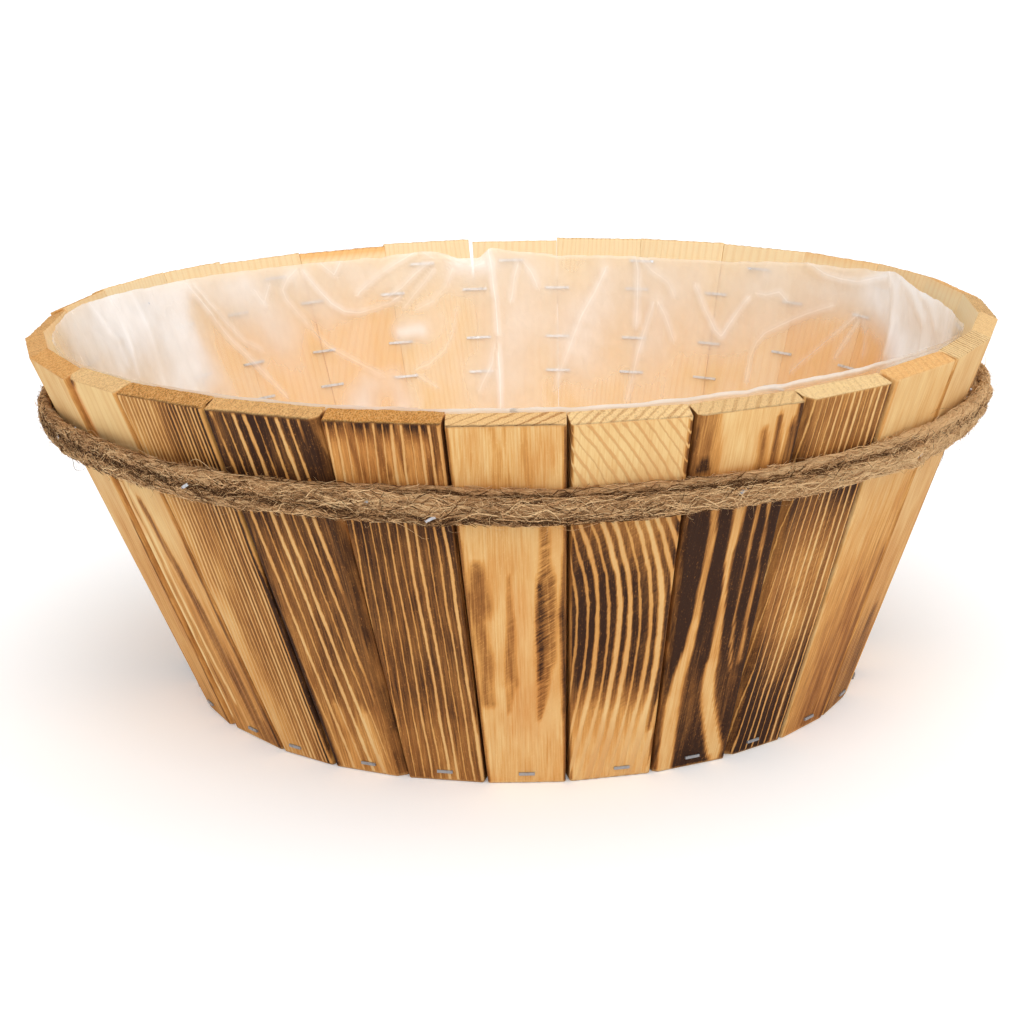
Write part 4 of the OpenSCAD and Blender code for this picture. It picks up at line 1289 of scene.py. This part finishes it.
class BASKET_OT_liner(bpy.types.Operator):
    """Makes the crinkled film bag that is stapled inside the staves"""

    bl_idname = "basket.liner"
    bl_label = "Film liner"

    def execute(self, context):
        size = context.scene.basket_liner
        foot_r, foot_z = size.foot_radius / MM, size.foot_height / MM
        steps, wall_rows, floor_rows = 900, 92, 8

        shape = bmesh.new()
        seed = bmesh.ops.create_vert(shape, co=(0, 0, 0))["vert"]
        for _ in range(floor_rows + wall_rows):
            grown = bmesh.ops.extrude_vert_indiv(shape, verts=seed)["verts"]
            bmesh.ops.translate(shape, vec=(1, 0, 0), verts=grown)
            seed = grown
        bmesh.ops.spin(shape, geom=shape.verts[:] + shape.edges[:], cent=(0, 0, 0),
                       axis=(0, 0, 1), angle=2 * math.pi, steps=steps, use_merge=True)
        bmesh.ops.remove_doubles(shape, verts=shape.verts, dist=0.001)
        bmesh.ops.recalc_face_normals(shape, faces=shape.faces)
        material = finish_from("Film, creased", creased_film(), {"Film": (*size.film, 1)},
                               0.5 * MM, IOR=1.45)
        piece = piece_from(shape, "film_liner", material)

        plain = places_of(piece.data)
        row = np.hypot(plain[:, 0], plain[:, 1])
        angle = np.degrees(np.arctan2(plain[:, 0], -plain[:, 1])) % 360
        edge = np.interp(angle, *zip(*FILM_EDGE)) + cloud(angle / 2.3, angle * 0, 501) * 0.5
        up = np.clip((row - floor_rows) / wall_rows, 0, 1)
        # Rows lie closer together near the edge
        height = foot_z + (edge - foot_z) * (1 - (1 - up) ** 1.15)
        radius = np.where(row < floor_rows, foot_r * row / floor_rows,
                          foot_r + size.spread * (height - foot_z))
        across = unrolled(angle)

        wander_a = cloud(across / 40, height / 40, 511) * 1.2
        wander_z = cloud(across / 36, height / 36, 521) * 1.2
        folds = list(FILM_FOLDS)
        # The photograph doesn't show the front half of the film, and it takes scattered folds
        dice = np.random.default_rng(55)
        for a in [*dice.uniform(8, 84, 10), *dice.uniform(276, 350, 10)]:
            lean, high, low = dice.normal(0, 2.5), dice.uniform(120, 153), dice.uniform(20, 95)
            traits = [dice.uniform(*ends) for ends in ((0.8, 1.8), (2.4, 3.6), (0.3, 0.8))]
            folds.append((*traits, [
                (float(np.clip(a + lean * t + dice.normal(0, 0.6), 1, 359)),
                 high + (low - high) * t) for t in (0, 0.33, 0.66, 1)]))
        inward, fold = np.zeros_like(row), np.zeros_like(row)
        crease, second = np.full_like(row, 4.0), np.full_like(row, 9.0)
        for tall, half, white, points in folds:
            path = [(unrolled(a), z) for a, z in points]
            near, hand = reach(across + wander_a, height + wander_z, path, 1, 1, signed=True)
            # Two folds that run close together turn the same side to each other
            meet = (np.abs(crease) < 3.8) & (np.abs(near - np.abs(crease)) < 1)
            if (np.sign(crease[meet]) * hand[meet]).sum() < 0:
                hand = -hand
            closer = near < np.abs(crease)
            second = np.minimum(second, np.where(closer, np.abs(crease), near))
            crease = np.where(closer, near * hand, crease)
            # fold holds the strength of the painted highlight along the nearest fold
            fold = np.where(closer, white * (1 - ease(1.2, 4, near)), fold)
            inward = np.maximum(inward, 0.34 * tall * (1 - ease(0, 1.4 * half + 1.6, near)))
            inward += 0.16 * tall * (1 - ease(3, 16, near))
        fold *= ease(0.5, 2, second - np.abs(crease))
        swell = cloud(across / 60, height / 55, 531)
        small = np.abs(cloud(across / 18, height / 24, 541, 3))
        crinkle = size.crinkle / MM
        inward += 0.9 + 0.9 * np.clip(swell, -0.8, 1) + crinkle * (1 - 3 * small)
        hem = 1 - ease(0.8, 2.6, edge - height)
        curl = np.interp(angle, (70, 84, 96, 108, 116), (0, 3.2, 4.5, 3, 0))
        inward += curl * ease(24, 0, edge - height) * (up > 0)
        inward = np.clip(inward, -0.1, 9)
        on_wall = ease(0, 0.06, up)
        rumple = np.abs(cloud(plain[:, 0] * 0.9, plain[:, 1] * 0.9, 551, 4))
        lift = (1.0 - on_wall) * (0.6 + 0.5 * rumple * 4)
        radius = radius - inward * math.cos(LEAN) * on_wall
        height = height + inward * math.sin(LEAN) * on_wall * 0.6 + lift * (row > 0)
        over = FOOT_SHIFT * (1 - height / RIM_HEIGHT)
        theta = np.radians(angle)
        move_to(piece.data, np.stack([over + radius * np.sin(theta), -radius * np.cos(theta),
                                      height], 1) * MM)
        veil = np.zeros_like(row)
        # Painted sheen: bands where the film lies double are whiter, most at the sides where it
        # is seen edge-on
        for half, white, points in FILM_BANDS:
            path = [(unrolled(a), z) for a, z in points]
            near = reach(across + 3 * wander_a, height + 3 * wander_z, path, half, half)
            veil = veil * (1 - max(white, 0) * 0.5 * np.exp(-near**2)) + white * np.exp(-near**2)
        front = ease(60, 40, angle) + ease(285, 300, angle)
        veil = np.maximum(veil + 0.16 * cloud(across / 30, height / 24, 561),
                          hem * (0.5 + 0.8 * front))
        keep(piece.data, "veil", np.clip(veil, -0.3, 1.2) * (0.3 + 0.7 * on_wall))
        keep(piece.data, "crease", np.clip(crease, -4, 4))
        keep(piece.data, "fold", np.clip(fold, 0, 1) * on_wall)
        keep(piece.data, "spread", np.stack([across, height, row * 0], 1))
        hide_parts("liner")
        return {"FINISHED"}


# Staples: zinc-coated wire with fine drawing marks and dull spots

def zinc_wire():
    """Dull grey wire with darker spots."""
    tree, given, end = effect("Zinc-coated wire", {"Zinc": ink(168, 170, 174)})
    place = stretched(tree, put(tree, "ShaderNodeTexCoord").outputs["Object"], 1000, 1000, 1000)
    dull = noise(tree, place, 0.7, detail=3)
    drawn = noise(tree, place, 6.0, detail=2)
    shade = blend(tree, step(tree, dull, 0.45, 0.75, 0.0, 0.5), given["Zinc"], ink(104, 100, 98))
    give(tree, end, Color=shade, Roughness=step(tree, dull, 0.3, 0.7, 0.36, 0.55), Height=drawn)
    return tree


class BASKET_OT_staples(bpy.types.Operator):
    """Gives every staple its zinc-coated wire"""

    bl_idname = "basket.staples"
    bl_label = "Staples"

    def execute(self, context):
        group = zinc_wire()
        # Lit and shaded copies of one zinc: the foot staples keep the darker one as painted
        # shade, and the staples inside and on the rope take a lighter, less metallic one as
        # painted light
        dull = finish_from("Zinc-coated wire", group, {}, 0.05 * MM, Metallic=0.85)
        bright = finish_from("Zinc-coated wire, painted lighter", group, {"Zinc": ink(214, 216, 222)},
                             0.05 * MM, Metallic=0.6)
        for name, material in (("joint_staples", bright), ("foot_staples", dull),
                               ("liner_staples", bright), ("rope_staples", bright)):
            dress(name, material)
        return {"FINISHED"}


# The photograph's camera: its place in mm, which way it looks, its roll and its lens
CAMERA_PLACE = (-1.33, -922.42, 323.74)
CAMERA_AHEAD = (0, 0.963253, -0.268597)
CAMERA_ROLL = -1.262
LENS, SENSOR = 78.36, 36
# What the lamps point at, in metres, and the degrees over which their light is spread
LAMP_TARGET = Vector((0, 0, 0.08))
LAMP_SPREAD = 60
FLOOR_RADIUS = 14


class BASKET_OT_stage(bpy.types.Operator):
    """Makes the camera, the white floor, the soft lamps and the plain white room"""

    bl_idname = "basket.stage"
    bl_label = "Stage"

    def execute(self, context):
        size = context.scene.basket_stage
        scene = context.scene
        scene.view_settings.view_transform = "Standard"
        ahead, roll = Vector(CAMERA_AHEAD), math.radians(CAMERA_ROLL)
        level = Vector((1, 0, 0))
        upward = level.cross(ahead)
        right = level * math.cos(roll) + upward * math.sin(roll)
        over = upward * math.cos(roll) - level * math.sin(roll)
        lens = bpy.data.cameras.new("camera")
        lens.lens, lens.sensor_width = LENS, SENSOR
        lens.clip_start, lens.clip_end = 0.05, 60
        camera = linked("camera", lens)
        turn = Matrix((right, over, -ahead)).transposed().to_4x4()
        camera.matrix_world = Matrix.Translation(Vector(CAMERA_PLACE) * MM) @ turn
        scene.camera = camera

        self.lamp("soft light in front", (0.12, -1.5, 1.5), size.lamp_power)
        self.lamp("soft light above", (0.5, 0.2, 2.0), size.lamp_power * 0.37)
        self.room(scene, size)
        self.floor(size)
        return {"FINISHED"}

    def lamp(self, name, place, strength):
        light = bpy.data.lights.new(name, "SUN")
        light.angle, light.energy = math.radians(LAMP_SPREAD), strength
        lamp = linked(name, light)
        lamp.location = place
        toward = LAMP_TARGET - Vector(place)
        lamp.rotation_euler = toward.to_track_quat("-Z", "Y").to_euler()

    def room(self, scene, size):
        world = bpy.data.worlds.new("plain white room")
        world.use_nodes = True
        scene.world = world
        tree = world.node_tree
        ray = put(tree, "ShaderNodeLightPath").outputs
        seen = calc(tree, "MAXIMUM", ray["Is Camera Ray"],
                    calc(tree, "MAXIMUM", ray["Is Glossy Ray"], ray["Is Transmission Ray"]))
        background = tree.nodes["Background"]
        background.inputs["Color"].default_value = (1, 1, 1, 1)
        strength = times(tree, seen, 1 - size.sky, size.sky)
        tree.links.new(strength, background.inputs["Strength"])

    def floor(self, size):
        material, tree, shader = finish("White floor", Base_Color=(*size.floor, 1),
                                        Roughness=0.9, Specular_IOR_Level=0.1)
        seen = put(tree, "ShaderNodeLightPath").outputs["Is Camera Ray"]
        glow = put(tree, "ShaderNodeEmission", {
            "Color": (1, 1, 1, 1), "Strength": times(tree, seen, 0.15)})
        both = put(tree, "ShaderNodeAddShader", {0: shader.outputs["BSDF"], 1: glow.outputs[0]})
        tree.links.new(both.outputs[0], tree.nodes["Material Output"].inputs["Surface"])
        shape = bmesh.new()
        bmesh.ops.create_circle(shape, cap_ends=True, segments=96, radius=FLOOR_RADIUS)
        bmesh.ops.translate(shape, vec=(0, 0, -0.2 * MM), verts=shape.verts)
        ground = linked("floor", mesh_from(shape, "floor"))
        ground.data.materials.append(material)


class BASKET_PT_parts(bpy.types.Panel):
    """Lists the basket's pieces and their sizes"""

    bl_idname = "BASKET_PT_parts"
    bl_label = "Basket"
    bl_space_type = "VIEW_3D"
    bl_region_type = "UI"
    bl_category = "Basket"

    def draw(self, context):
        for operator, settings in ROWS:
            box = self.layout.box()
            box.operator(operator.bl_idname)
            if settings:
                group = getattr(context.scene, settings)
                for name in type(group).__annotations__:
                    box.prop(group, name)


SETTINGS = {
    "basket_stage": BasketStageSettings,
    "basket_staves": BasketStaveSettings,
    "basket_liner": BasketLinerSettings,
    "basket_rope": BasketRopeSettings,
}
ROWS = (
    (BASKET_OT_stage, "basket_stage"),
    (BASKET_OT_staves, "basket_staves"),
    (BASKET_OT_floor_board, None),
    (BASKET_OT_liner, "basket_liner"),
    (BASKET_OT_rope, "basket_rope"),
    (BASKET_OT_staples, None),
)


def register():
    for group in (*SETTINGS.values(), *(operator for operator, _ in ROWS), BASKET_PT_parts):
        bpy.utils.register_class(group)
    for name, group in SETTINGS.items():
        setattr(bpy.types.Scene, name, bpy.props.PointerProperty(type=group))


def unregister():
    for name in SETTINGS:
        delattr(bpy.types.Scene, name)
    for group in (BASKET_PT_parts, *(operator for operator, _ in ROWS), *SETTINGS.values()):
        bpy.utils.unregister_class(group)


def main():
    register()
    for operator, _ in ROWS:
        getattr(bpy.ops.basket, operator.bl_idname.split(".")[1])()


if __name__ == "__main__":
    main()
